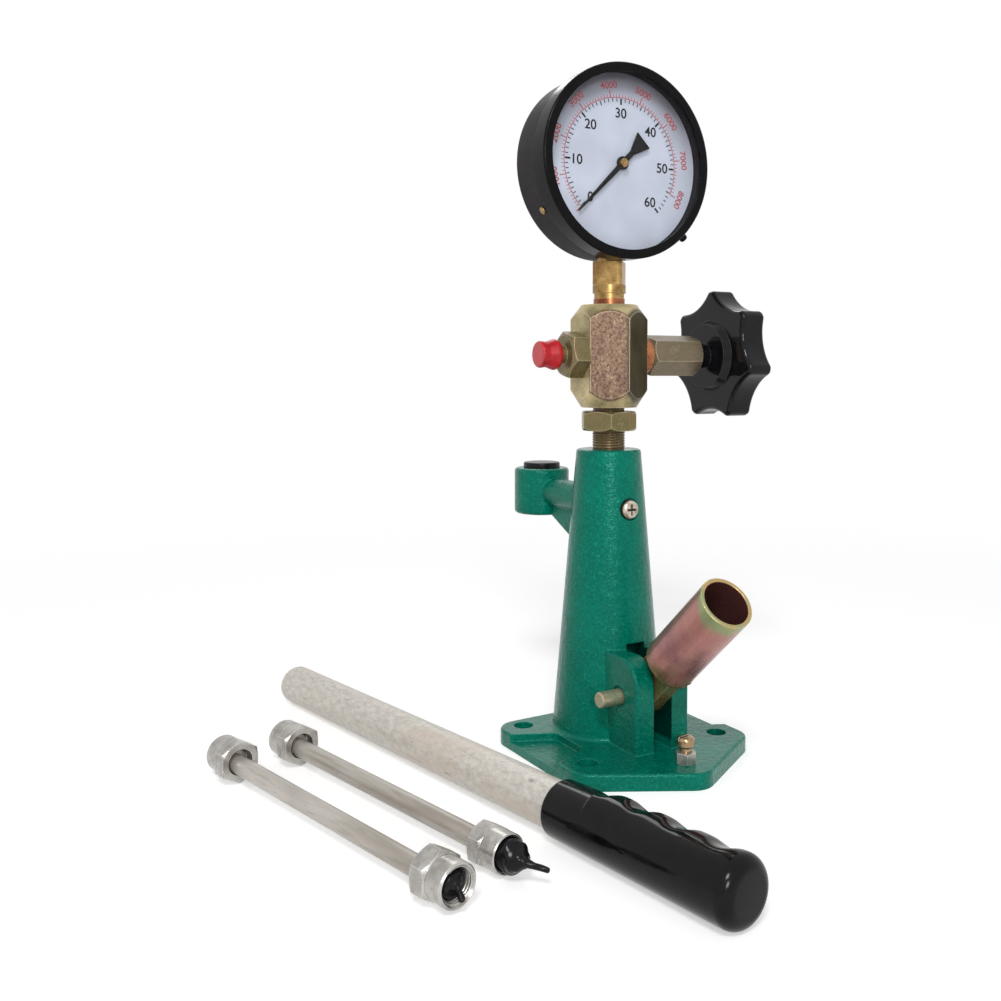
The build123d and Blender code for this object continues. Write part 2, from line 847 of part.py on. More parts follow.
shank_low = block_high + shank_washer_thickness
case_bottom = gauge_height - case_radius


def shank_washer():
    return in_head(ring(shank_washer_radius, shank_thread_radius + fit, block_high, shank_low))


def gauge_shank():
    """Threaded end, round collar, four spanner flats and the block that carries the spring tube."""
    shank = drum(shank_thread_radius, block_high - shank_thread_length, shank_low + fit)
    bar_top = gauge_height - bezel_radius - fit
    collar_low = shank_low + shank_neck_length
    collar_high = collar_low + shank_collar_length
    shank += drum(shank_neck_radius, shank_low, collar_low + fit)
    shank += drum(shank_collar_radius, collar_low, collar_high)
    bar = drum(shank_round_radius, collar_high - fit, bar_top)
    shank += bar & (Rot(0, 0, shank_flats_turn) * Box(shank_flats, shank_flats, 2 * gauge_height))
    shank += drum(shank_entry_radius, bar_top - fit, case_bottom + socket_block_height / 2)
    inner = case_bottom + case_wall + socket_block_gap
    half = socket_block_half
    shank += block(half, -half, half, inner, inner + socket_block_height)
    shank -= drum(oilway_radius, 0, inner + socket_block_height / 2)
    return in_head(shank)


def gauge_case():
    shell = drum(case_radius, -case_back, case_front)
    shell = fillet(shell.edges().group_by(Axis.Z)[0], case_round)
    shell -= drum(case_radius - case_wall, case_wall - case_back, case_front + overrun)
    entry = Rot(90, 0, 0) * drum(shank_entry_radius + fit, 0, case_radius + overrun)
    shell -= entry
    for angle in case_screw_angles:
        spot = Rot(0, 0, angle) * Pos(0, 0, case_screw_depth) * Rot(0, 90, 0)
        shell -= spot * drum(case_screw_radius / 2 + fit, 0, case_radius + overrun)
    return in_gauge(shell)


def case_screws():
    inner = case_radius - 3 * case_wall
    high = case_radius + case_screw_radius / 2
    screws = []
    for angle in case_screw_angles:
        head = drum(case_screw_radius, case_radius, high)
        head = fillet(head.edges().group_by(Axis.Z)[-1], case_screw_radius / 3)
        screw = head + drum(case_screw_radius / 2, inner, case_radius + fit)
        slot = case_screw_radius / 4
        screw = slotted(screw, slot, 3 * case_screw_radius, high, slot, False)
        screws.append(Rot(0, 0, angle) * Pos(0, 0, case_screw_depth) * Rot(0, 90, 0) * screw)
    return in_gauge(Compound(children=screws))


def gauge_bezel():
    """The ring that holds the glass: a band round the case and a lip over its edge."""
    inner = case_radius + fit
    band = drum(bezel_radius, bezel_back, bezel_front)
    band = fillet(band.edges().group_by(Axis.Z)[-1], bezel_round)
    band -= drum(inner, bezel_back - overrun, bezel_front - bezel_lip)
    return in_gauge(band - drum(bezel_opening_radius, bezel_back, bezel_front + overrun))


def bezel_nub():
    nub = drum(nub_radius, case_radius, bezel_radius + nub_reach)
    nub = Rot(0, 90, 0) * fillet(nub.edges().group_by(Axis.Z)[-1], nub_radius / 2)
    nub -= drum(bezel_radius, -case_radius, case_radius)
    return in_gauge(Rot(0, 0, nub_angle) * Pos(0, 0, nub_depth) * nub)


def gauge_glass():
    return in_gauge(drum(glass_radius, glass_back, glass_back + glass_thickness))


def gauge_dial():
    plate = drum(dial_radius, dial_face - dial_thickness, dial_face)
    return in_gauge(plate - drum(2 * arbor_radius, 0, dial_face + overrun))


centre_distance = gear_module * pinion_teeth * (1 + sector_ratio) / 2
front_plate_back = dial_face - dial_thickness - plate_thickness - fit
tube_start = degrees(asin((socket_block_half + fit) / (tube_arc_radius - tube_half_thickness)))
tube_end = -90 - tube_start - tube_arc


def tube_tip():
    """Where the post on the tube's free end stands in the dial's plane."""
    back = degrees(asin(tube_post_radius / tube_arc_radius))
    angle = radians(tube_end + back)
    return tube_arc_radius * cos(angle), tube_arc_radius * sin(angle)


def bourdon_tube():
    """The flattened spring tube: an arc from the socket round to its free tip, with a link post."""
    oval = Rot(0, 0, 90) * SlotOverall(2 * tube_half_width, 2 * tube_half_thickness)
    section = Plane.XZ * Pos(tube_arc_radius, tube_depth) * oval
    coil = Rot(0, 0, tube_end) * revolve(section, Axis.Z, revolution_arc=tube_arc)
    post = drum(tube_post_radius, tube_depth, gear_back + gear_thickness)
    return in_gauge(coil + Pos(*tube_tip(), 0) * post)


def movement_plates():
    """Two plates held apart by three pillars, with the arbor holes through both and a foot below."""
    high = front_plate_back + plate_thickness
    rear = rear_plate_back + plate_thickness
    works = block(plate_half_width, -plate_bottom, plate_top, rear_plate_back, rear)
    works += block(plate_half_width, -plate_bottom, plate_top, front_plate_back, high)
    side = plate_half_width - pillar_inset
    top = plate_top - pillar_inset
    bottom = pillar_inset - plate_bottom
    for x, y in ((-side, top), (side, top), (-side, bottom)):
        works += Pos(x, y, 0) * drum(pillar_radius, rear_plate_back, high)
    foot_low = case_radius - case_wall - socket_block_gap - socket_block_height
    works += block(socket_block_half, -foot_low, bottom, rear_plate_back, rear)
    for y in (0, -centre_distance):
        works -= Pos(0, y, 0) * drum(arbor_radius + fit, -overrun, high + overrun)
    return in_gauge(works)


def toothed(teeth_in_full, first, count, root_radius):
    """The teeth of a gear, counted round from the tooth numbered first."""
    half = pi * gear_module * tooth_width_share / 2
    tip_half = half * 2 / 3
    tip = gear_module * (teeth_in_full / 2 + gear_addendum_share)
    corners = [(root_radius, -half), (tip, -tip_half), (tip, tip_half), (root_radius, half)]
    tooth = Pos(0, 0, gear_back) * extrude(Polygon(*corners, align=None), gear_thickness)
    return [Rot(0, 0, 360 / teeth_in_full * (first + number)) * tooth for number in range(count)]


def pinion_arbor():
    root = gear_module * (pinion_teeth / 2 - gear_dedendum_share)
    arbor = drum(arbor_radius, rear_plate_back, pointer_back + pointer_thickness)
    arbor += drum(root, gear_back, gear_back + gear_thickness)
    return in_gauge(arbor.fuse(*toothed(pinion_teeth, 0, pinion_teeth, root - fit)))


sector_rest = pointer_sweep / sector_ratio / 2


def sector_gear():
    """The toothed sector: hub, web and a rim of teeth that mesh with the pinion, and a tail below."""
    full = pinion_teeth * sector_ratio
    root = gear_module * (full / 2 - gear_dedendum_share)
    rim_inner = root - 3 * gear_module
    reach = sector_teeth / 2 + 1 / 2
    span = 360 / full * reach
    rim = Pos(0, 0, gear_back) * extrude(Circle(root) - Circle(rim_inner), gear_thickness)
    wide = 2 * root * sin(radians(span))
    high = 2 * root * cos(radians(span))
    wedge = Polygon((0, 0), (wide, high), (-wide, high), align=None)
    rim = rim & (Pos(0, 0, gear_back) * extrude(wedge, gear_thickness))
    web = block(sector_web_half, 0, rim_inner + fit, gear_back, gear_back + gear_thickness)
    gear = rim + web + drum(sector_hub_radius, gear_back, gear_back + gear_thickness)
    gear = gear.fuse(*toothed(full, full / 4 - sector_teeth / 2, sector_teeth + 1, root - fit))
    tail = block(tail_half_width, 0, tail_radius, gear_back, gear_back + gear_thickness)
    gear += Rot(0, 0, tail_angle - 90) * tail
    pin = Rot(0, 0, tail_angle - 90) * Pos(0, tail_radius - tail_half_width, 0)
    gear += pin * drum(link_pin_radius, gear_back, gear_back + gear_thickness + 2 * link_thickness)
    gear += drum(arbor_radius, rear_plate_back, front_plate_back + plate_thickness)
    return in_gauge(Pos(0, -centre_distance, 0) * Rot(0, 0, -sector_rest) * gear)


def link_anchor():
    """Where the link's pin stands in the dial's plane, with the sector at rest."""
    reach = tail_radius - tail_half_width
    angle = radians(tail_angle - sector_rest)
    return reach * cos(angle), -centre_distance + reach * sin(angle)


def gauge_link():
    """The flat link from the sector's tail to the post on the spring tube's tip."""
    x, y = link_anchor()
    tip_x, tip_y = tube_tip()
    length = hypot(tip_x - x, tip_y - y)
    low = gear_back + gear_thickness + slack / 2
    high = low + link_thickness
    bar = block(link_half_width, 0, length, low, high)
    bar += drum(link_half_width, low, high) + Pos(0, length, 0) * drum(link_half_width, low, high)
    bar -= drum(link_pin_radius + fit, low - overrun, high + overrun)
    return in_gauge(Pos(x, y, 0) * Rot(0, 0, degrees(atan2(tip_y - y, tip_x - x)) - 90) * bar)


def pointer():
    """A thin blade that tapers to the scale, a fan-shaped tail and a hub cap."""
    half = pointer_root_half
    tip = pointer_tip_half
    end = pointer_tail_end
    fan = pointer_tail_half
    start = pointer_tail_start
    blade = Polygon((0, -half), (pointer_length, -tip), (pointer_length, tip), (0, half), align=None)
    neck = Polygon((0, -half), (0, half), (-start, half), (-start, -half), align=None)
    tail = Polygon((-start, -half), (-start, half), (-end, fan), (-end, -fan), align=None)
    plan = blade + neck + tail + Circle(pointer_ring_radius)
    hand = Pos(0, 0, pointer_back) * extrude(plan, pointer_thickness)
    hand += drum(pointer_cap_radius, pointer_back + pointer_thickness - fit, pointer_cap_top)
    hand -= drum(arbor_radius + fit / 2, 0, pointer_back + pointer_thickness + fit / 2)
    return in_gauge(Rot(0, 0, pointer_zero_angle) * hand)


# Lever

def socket_tube():
    """The tube that takes the handle, bored down to the tongue's end."""
    tube = ring(socket_radius, socket_root_radius, socket_start, socket_end)
    tube -= drum(socket_bore_radius, socket_start + tongue_insert, socket_end + overrun)
    return in_lever(chamfer(tube.edges().group_by(Axis.Z)[-1], socket_mouth_chamfer))


tongue_half_height = sqrt(socket_root_radius**2 - tongue_half_thickness**2)


def arm_tip():
    """The roller's centre in the lever's own plane: across and along the socket."""
    bend = radians(lever_rise - inner_arm_droop)
    return inner_arm_length * sin(bend), -inner_arm_length * cos(bend)


def tongue_plate():
    """The plate between the socket and the roller, in the lever's own place."""
    across, along = arm_tip()
    neck = Pos(0, socket_start + tongue_insert / 2) * Rectangle(2 * tongue_half_height, tongue_insert)
    outer = make_hull(Circle(lever_boss_radius).edges() + neck.edges())
    tip = Pos(across, along) * Circle(inner_arm_tip_radius)
    inner = make_hull(Circle(inner_arm_root_radius).edges() + tip.edges())
    half = tongue_half_thickness
    plate = slab(outer + inner, half)
    plate -= ring(2 * socket_radius, socket_root_radius - fit, socket_start - fit, socket_end)
    plate -= Rot(0, 90, 0) * drum(pin_radius + fit, -half - overrun, half + overrun)
    room = roller_half_width + fit
    at_roller = Pos(0, across, along) * Rot(0, 90, 0)
    plate -= at_roller * drum(roller_radius + roller_room, -room, room)
    return plate - at_roller * drum(roller_pin_radius + fit, -half - overrun, half + overrun)


def lever_tongue():
    return in_lever(tongue_plate())


def lever_weld():
    """The bead round the tongue where it enters the socket."""
    bead = Pos(0, 0, socket_start) * Torus((socket_radius + socket_root_radius) / 2, weld_bead_radius)
    bead -= drum(2 * socket_radius, socket_start, socket_end)
    window = Box(2 * weld_half_width, 4 * socket_radius, 4 * weld_bead_radius)
    bead &= Pos(0, 0, socket_start) * window
    return in_lever(bead - tongue_plate())


def roller_pin():
    across, along = arm_tip()
    pin = drum(roller_pin_radius, -tongue_half_thickness, tongue_half_thickness)
    return in_lever(Pos(0, across, along) * Rot(0, 90, 0) * pin)


def tappet_roller():
    across, along = arm_tip()
    wheel = ring(roller_radius, roller_pin_radius + fit, -roller_half_width, roller_half_width)
    return in_lever(Pos(0, across, along) * Rot(0, 90, 0) * wheel)


def cup_plug():
    high = cup_high + cup_plug_brim
    plug = drum(cup_plug_radius, cup_high, high)
    plug = fillet(plug.edges().group_by(Axis.Z)[-1], cup_plug_brim / 3)
    skirt_radius = cup_bore_radius - fit
    plug += drum(skirt_radius, cup_high - cup_plug_skirt, cup_high + fit)
    plug -= drum(skirt_radius - cup_plug_wall, cup_high - cup_plug_skirt - overrun, cup_high)
    return Pos(0, cup_reach, 0) * plug


# Handle

grip_end = handle_length + grip_end_wall
grip_swell = grip_start + (grip_end - grip_start) * grip_swell_share
handle_tilt = degrees(atan2(grip_end_radius - handle_radius, grip_swell - handle_end_round))


def on_floor(shape, x, y, heading, height, tilt):
    """Lay a piece made along Z from a point at the given height, rising by tilt degrees."""
    return Pos(x, y, height) * Rot(0, 0, heading) * Rot(0, 90 - tilt, 0) * shape


def lay_handle(shape):
    lift = handle_end_round * sin(radians(handle_tilt))
    height = handle_radius * cos(radians(handle_tilt)) - lift
    return on_floor(shape, handle_far_x, handle_far_y, handle_heading, height, handle_tilt)


def handle_tube():
    tube = drum(handle_radius, 0, handle_length)
    tube = fillet(tube.edges().group_by(Axis.Z)[0], handle_end_round)
    return lay_handle(tube - drum(handle_radius - handle_wall, handle_end_round, handle_length + overrun))


def handle_grip():
    """A dipped sleeve that swells towards its closed end, with finger ridges along one side."""
    body = turned([
        (0, grip_start), (grip_start_radius, grip_start), (grip_end_radius, grip_swell),
        (grip_end_radius, grip_end), (0, grip_end)
    ])
    body = fillet(body.edges().group_by(Axis.Z)[-1], grip_end_round)
    finger_end = grip_end - grip_end_round
    fingers = turned([
        (0, groove_first), (finger_start_radius, groove_first),
        (finger_end_radius, finger_end), (0, finger_end)
    ])
    body += Rot(0, 0, 180 - groove_lean) * Pos(finger_offset, 0, 0) * fingers
    cutter = Rot(90, 0, 0) * Cylinder(groove_radius, 4 * grip_end_radius)
    for number in range(groove_count):
        place = Pos(groove_floor + groove_radius, 0, groove_first + groove_pitch * number)
        body -= Rot(0, 0, 180 - groove_lean) * place * cutter
    return lay_handle(body - drum(handle_radius + fit, 0, handle_length + fit))


# Injector pipes

front_place = (front_pipe_x, front_pipe_y, front_pipe_heading)
rear_place = (rear_pipe_x, rear_pipe_y, rear_pipe_heading)


def on_pipe(shape, x, y, heading, along, outwards, height):
    """Place a piece made along Z over a pipe's line, pointing away from the pipe's middle."""
    dx = cos(radians(heading))
    dy = sin(radians(heading))
    face = heading if outwards > 0 else heading + 180
    return on_floor(shape, x + along * dx, y + along * dy, face, height, 0)


def corner_height(flats):
    """The height of a nut's axis while the nut stands on one of its corners."""
    return flats / 2 / cos(radians(30))


pipe_height = corner_height(nut_flats) - pipe_drop


def pipe_half_end():
    """The head and cone at a pipe's end, with Z = 0 at the union nut's back face."""
    shoulder = nut_entry_length + slack
    top = shoulder + pipe_head_length
    mid = shoulder + pipe_head_length / 3
    return turned([
        (0, shoulder), (pipe_head_radius, shoulder), (pipe_head_radius, mid),
        (pipe_nose_radius, top), (0, top)
    ])


def injector_pipe(x, y, heading, length):
    """The tube with a head at each end, made along Z and laid down as one."""
    end = pipe_half_end()
    pipe = drum(pipe_radius, -nut_entry_length, length + nut_entry_length)
    pipe += Pos(0, 0, length) * end + Rot(180, 0, 0) * end
    pipe -= drum(pipe_bore_radius, -nut_length, length + nut_length)
    return on_pipe(pipe, x, y, heading, 0, 1, pipe_height)


def union_nut(flats, length, skirt_radius, chamber_radius):
    """A hexagonal nut with a round skirt: back face at Z = 0, open mouth at its length."""
    hex_length = length * nut_hex_share
    nut = crowned(flats, 0, hex_length, 0, (nut_chamfer, nut_chamfer), flats / 2)
    skirt = drum(skirt_radius, hex_length - nut_chamfer, length)
    nut += chamfer(skirt.edges().group_by(Axis.Z)[-1], nut_chamfer / 2)
    nut -= drum(nut_entry_radius, -overrun, nut_entry_length + overrun)
    nut -= drum(chamber_radius, nut_entry_length, nut_chamber_end)
    nut -= drum(nut_thread_radius, nut_entry_length, length + overrun)
    mouth = nut_thread_radius + nut_mouth_chamfer
    end = length + overrun
    return nut - turned([(0, length - mouth), (mouth, length), (mouth, end), (0, end)])


def plug_tail(root, length, droop):
    return Pos(0, 0, root) * Rot(0, droop, 0) * drum(plug_tail_radius, -plug_tail_radius, length)


def rear_plug():
    """A rubber plug in a nut's mouth, with a cone outside it and a thin pull tail."""
    low = small_nut_length - plug_insert
    cone_end = small_nut_length + rear_plug_cone_length
    body = turned([
        (0, low), (plug_radius, low), (plug_radius, small_nut_length),
        (rear_plug_tip_radius, cone_end), (0, cone_end)
    ])
    body += plug_tail(cone_end, rear_plug_tail_length, rear_plug_tail_droop)
    return on_pipe(body, *rear_place, 0, -1, corner_height(small_nut_flats))


def front_plug():
    """A plug sunk halfway into its nut, with a tail that hangs from its face."""
    low = nut_length - plug_insert
    face = nut_length - plug_insert / 2
    body = drum(plug_radius, low, face) + plug_tail(face, front_plug_tail_length, front_plug_tail_droop)
    return on_pipe(body, *front_place, 0, -1, corner_height(nut_flats))


def nut_on(x, y, heading, along, outwards):
    nut = union_nut(nut_flats, nut_length, nut_skirt_radius, nut_chamber_radius)
    return on_pipe(nut, x, y, heading, along, outwards, corner_height(nut_flats))


def small_nut():
    nut = union_nut(small_nut_flats, small_nut_length, small_nut_skirt_radius, small_nut_chamber_radius)
    return on_pipe(nut, *rear_place, 0, -1, corner_height(small_nut_flats))


parts = {
    "stand_casting": stand_casting(),
    "oil_cup": oil_cup(),
    "base_plug": base_plug(),
    "pivot_pin": pivot_pin(),
    "stop_screw": stop_screw(),
    "stop_nut": stop_nut(),
    "pump_barrel": pump_barrel(),
    "locating_screw": locating_screw(),
    "return_spring": return_spring(),
    "valve_seat": valve_seat(),
    "seat_washer": seat_washer(),
    "valve_holder": valve_holder(),
    "delivery_spring": delivery_spring(),
    "lock_nut": lock_nut(),
    "valve_block": valve_block(),
    "outlet_union": outlet_union(),
    "bonnet_washer": bonnet_washer(),
    "bonnet": bonnet(),
    "packing": packing(),
    "shank_washer": shank_washer(),
    "gauge_shank": gauge_shank(),
    "gauge_case": gauge_case(),
    "case_screws": case_screws(),
    "gauge_bezel": gauge_bezel(),
    "bezel_nub": bezel_nub(),
    "gauge_glass": gauge_glass(),
    "gauge_dial": gauge_dial(),
    "bourdon_tube": bourdon_tube(),
    "movement_plates": movement_plates(),
    "tappet": tappet(),
    "plunger": plunger(),
    "delivery_valve": delivery_valve(),
    "socket_tube": socket_tube(),
    "lever_tongue": lever_tongue(),
    "lever_weld": lever_weld(),
    "roller_pin": roller_pin(),
    "tappet_roller": tappet_roller(),
    "needle_tip": needle_tip(),
    "spindle": spindle(),
    "star_wheel": star_wheel(),
    "wheel_nut": wheel_nut(),
    "pinion_arbor": pinion_arbor(),
    "pointer": pointer(),
    "sector_gear": sector_gear(),
    "gauge_link": gauge_link(),
    "outlet_cap": outlet_cap(),
    "cup_plug": cup_plug(),
    "handle_tube": handle_tube(),
    "handle_grip": handle_grip(),
    "front_pipe": injector_pipe(*front_place, front_pipe_length),
    "rear_pipe": injector_pipe(*rear_place, rear_pipe_length),
    "front_pipe_near_nut": nut_on(*front_place, 0, -1),
    "front_pipe_far_nut": nut_on(*front_place, front_pipe_length, 1),
    "rear_pipe_near_nut": small_nut(),
    "rear_pipe_far_nut": nut_on(*rear_place, rear_pipe_length, 1),
    "front_plug": front_plug(),
    "rear_plug": rear_plug(),
}

os.makedirs("parts", exist_ok=True)
for name, shape in parts.items():
    export_step(shape, f"parts/{name}.step")
    print(name)
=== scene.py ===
import math
import bmesh
import bpy
import numpy as np
from mathutils import Matrix, Vector


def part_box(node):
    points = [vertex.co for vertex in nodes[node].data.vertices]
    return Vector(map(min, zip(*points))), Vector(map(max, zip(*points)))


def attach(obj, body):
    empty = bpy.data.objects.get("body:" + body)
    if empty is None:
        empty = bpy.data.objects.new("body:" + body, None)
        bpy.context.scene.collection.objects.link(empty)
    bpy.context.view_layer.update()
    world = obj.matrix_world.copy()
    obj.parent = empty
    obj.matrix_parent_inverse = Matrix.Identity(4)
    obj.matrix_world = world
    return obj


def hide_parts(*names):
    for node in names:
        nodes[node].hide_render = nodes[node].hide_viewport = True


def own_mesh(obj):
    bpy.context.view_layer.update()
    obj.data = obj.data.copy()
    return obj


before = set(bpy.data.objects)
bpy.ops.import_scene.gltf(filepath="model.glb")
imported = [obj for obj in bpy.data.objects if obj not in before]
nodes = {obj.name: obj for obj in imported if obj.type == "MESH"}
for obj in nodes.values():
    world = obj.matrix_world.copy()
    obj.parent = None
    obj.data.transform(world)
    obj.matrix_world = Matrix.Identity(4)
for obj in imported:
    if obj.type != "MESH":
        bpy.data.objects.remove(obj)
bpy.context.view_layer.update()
scene = bpy.context.scene
print("frame loaded with", len(nodes), "nodes")


# Camera: the photograph's own viewpoint, solved from the circles and edges of the stand

camera = {
    "place": (-0.328781, -0.477089, 0.207427),
    "yaw": math.radians(31.985),
    "pitch": math.radians(-2.562),
    "roll": math.radians(-0.091),
    "lens": 37.454,
    "sensor": 36.0,
    "shiftX": -0.06113,
    "shiftY": -0.08426,
}


def placeCamera():
    yaw, pitch, roll = camera["yaw"], camera["pitch"], camera["roll"]
    ahead = Vector((math.sin(yaw) * math.cos(pitch), math.cos(yaw) * math.cos(pitch), math.sin(pitch)))
    level = Vector((math.cos(yaw), -math.sin(yaw), 0))
    down = ahead.cross(level)
    right = level * math.cos(roll) + down * math.sin(roll)
    up = level * math.sin(roll) - down * math.cos(roll)
    turn = Matrix((right, up, -ahead)).transposed().to_4x4()
    data = bpy.data.cameras.new("photoCamera")
    data.sensor_width = camera["sensor"]
    data.lens = camera["lens"]
    data.shift_x = camera["shiftX"]
    data.shift_y = camera["shiftY"]
    data.clip_start = 0.01
    data.clip_end = 50
    eye = bpy.data.objects.new("photoCamera", data)
    eye.matrix_world = Matrix.Translation(camera["place"]) @ turn
    scene.collection.objects.link(eye)
    scene.camera = eye


placeCamera()
print("camera placed")


# Colours are given as 0 to 255 values; this brings one to the linear scale that the shaders use.
def tone(colour):
    values = np.array(colour) / 255
    linear = np.where(values <= 0.04045, values / 12.92, ((values + 0.055) / 1.055) ** 2.4)
    return (*(float(value) for value in linear), 1.0)


# a shader input is linked to another node's socket, or set to a plain value
def feed(tree, target, value):
    if isinstance(value, bpy.types.NodeSocket):
        tree.links.new(value, target)
    else:
        target.default_value = value


def addNode(tree, kind, inputs=(), **settings):
    made = tree.nodes.new(kind)
    for key, value in settings.items():
        setattr(made, key, value)
    for key, value in dict(inputs).items():
        feed(tree, made.inputs[key], value)
    return made


# A look is a chain of nodes that ends in one Principled shader.
class Look:
    soften = 0.0003

    def __init__(self, name, colour, roughness=0.5, metallic=0.0):
        self.material = bpy.data.materials.new(name)
        self.material.use_nodes = True
        self.tree = self.material.node_tree
        self.tree.nodes.clear()
        inputs = {"Base Color": tone(colour), "Roughness": roughness, "Metallic": metallic}
        self.shader = self.node("ShaderNodeBsdfPrincipled", inputs)
        self.out = self.node("ShaderNodeOutputMaterial", {0: self.shader.outputs[0]})
        self.place = self.node("ShaderNodeTexCoord").outputs["Object"]

    def node(self, kind, inputs=(), **settings):
        return addNode(self.tree, kind, inputs, **settings)

    def put(self, socket, source):
        feed(self.tree, self.shader.inputs[socket], source)

    # object coordinates in a turned frame, each axis times its share: a small share draws a pattern out
    def moved(self, turn=(0, 0, 0), scale=(1, 1, 1)):
        inputs = {0: self.place, "Rotation": turn, "Scale": tuple(1 / share for share in scale)}
        return self.node("ShaderNodeMapping", inputs, vector_type="TEXTURE").outputs[0]

    def vector(self, operation, a, b=None):
        inputs = {0: a} if b is None else {0: a, 1: b}
        return self.node("ShaderNodeVectorMath", inputs, operation=operation)

    # how far a point lies along a direction, from a centre
    def along(self, centre, direction):
        shifted = self.vector("SUBTRACT", self.place, centre).outputs[0]
        return self.vector("DOT_PRODUCT", shifted, direction).outputs["Value"]

    # how far a point lies from the line through a centre
    def around(self, centre, direction):
        shifted = self.vector("SUBTRACT", self.place, centre).outputs[0]
        across = self.vector("CROSS_PRODUCT", shifted, direction).outputs[0]
        return self.vector("LENGTH", across).outputs["Value"]

    def noise(self, scale, detail=3.0, rough=0.55, place=None, distortion=0.0):
        inputs = {"Vector": place or self.place, "Scale": scale, "Detail": detail, "Roughness": rough,
                  "Distortion": distortion}
        return self.node("ShaderNodeTexNoise", inputs).outputs["Fac"]

    # a value brought from one range to another and kept within it: most of a noise lies between 0.3 and 0.7
    def spread(self, source, low=0.3, high=0.7, to=(0.0, 1.0)):
        inputs = {"Value": source, "From Min": low, "From Max": high, "To Min": to[0], "To Max": to[1]}
        return self.node("ShaderNodeMapRange", inputs).outputs[0]

    # 1 below the range, falling to 0 above it
    def fade(self, source, low, high):
        return self.spread(source, low, high, to=(1.0, 0.0))

    def maths(self, operation, a, b=0.0, c=0.0):
        return self.node("ShaderNodeMath", {0: a, 1: b, 2: c}, operation=operation).outputs[0]

    def times(self, a, b):
        return self.maths("MULTIPLY", a, b)

    def mix(self, factor, a, b):
        a, b = (tone(colour) if isinstance(colour, tuple) else colour for colour in (a, b))
        return self.node("ShaderNodeMix", {0: factor, 6: a, 7: b}, data_type="RGBA").outputs[2]

    # a share of a second colour laid over the first, where a mask says
    def over(self, under, mask, colour, share):
        return self.mix(self.times(mask, share), under, colour)

    def ramp(self, source, *stops):
        made = self.node("ShaderNodeValToRGB", {0: source})
        band = made.color_ramp
        while len(band.elements) < len(stops):
            band.elements.new(0.5)
        for element, (at, colour) in zip(band.elements, stops):
            element.position = at
            element.color = tone(colour)
        return made.outputs[0]

    # a bump over another one, or over the surface with its sharp edges softened a little
    def bump(self, source, strength, distance, under=None):
        under = under or self.node("ShaderNodeBevel", {"Radius": self.soften}, samples=4).outputs[0]
        inputs = {"Height": source, "Strength": strength, "Distance": distance, "Normal": under}
        return self.node("ShaderNodeBump", inputs).outputs[0]

    def paint(self, source):
        self.put("Base Color", source)

    def skin(self, source, strength, distance, under=None):
        self.put("Normal", self.bump(source, strength, distance, under))

    def satin(self, source, low, high):
        self.put("Roughness", self.spread(source, to=(low, high)))

    def shine(self, level):
        self.put("Specular IOR Level", level)

    # 0 on open surface and up to 1 where an edge is near
    def edges(self, radius, low=0.02, high=0.25):
        bevel = self.node("ShaderNodeBevel", {"Radius": radius}, samples=4)
        flat = self.node("ShaderNodeNewGeometry").outputs["Normal"]
        facing = self.vector("DOT_PRODUCT", bevel.outputs[0], flat).outputs["Value"]
        return self.spread(self.maths("SUBTRACT", 1.0, facing), low, high)


# give carried-over nodes their finish through their own material slots
def wear(look, *nodeNames):
    for nodeName in nodeNames:
        mesh = nodes[nodeName].data
        if not mesh.materials:
            mesh.materials.append(look.material)
        for index in range(len(mesh.materials)):
            mesh.materials[index] = look.material


# The places that patterns and pieces share, in metres

axisFoot = (0.0, 0.0, 0.0)  # where the tower's axis meets the floor
upwards = (0.0, 0.0, 1.0)
headTurn = -2.75  # degrees by which the valve block stands turned on the tower


# a level direction at so many degrees from the block's own
def headed(degrees):
    angle = math.radians(headTurn + degrees)
    return (math.cos(angle), math.sin(angle), 0.0)


wheelAxis, outletAxis, dialAxis = headed(0), headed(180), headed(-90)
frontFlat, shadedFlat = headed(240), headed(300)
valveCentre = (0.0, 0.0, 0.2155)
dialCentre = (0.0, 0.0, 0.3187)
leverRise = math.radians(42.7)
leverPivot = (0.0, -0.0346, 0.0357)
leverAxis = (0.0, -math.cos(leverRise), math.sin(leverRise))
handleHeading = math.radians(-80.95)
pipesHeading = math.radians(102)  # both pipes lie within a fifth of a degree of it


# Finishes

enamel = {
    "deep": (0, 88, 71), "lit": (0, 121, 100), "wornAndLit": (44, 158, 136), "glint": (60, 170, 146),
    "sheen": (0.34, 1.0, 0.84, 1.0),  # linear
    "shine": 0.28, "roughness": (0.14, 0.26), "drift": 42, "grain": 760, "peel": 260, "soften": 0.0010,
    "wearAndHighlightEdge": 0.0011,
    "slot": {"shade": (0, 40, 36), "half": 0.0058, "deep": (0.012, 0.02), "floor": (0.0122, 0.014),
             "roof": (0.0596, 0.0602)},
}
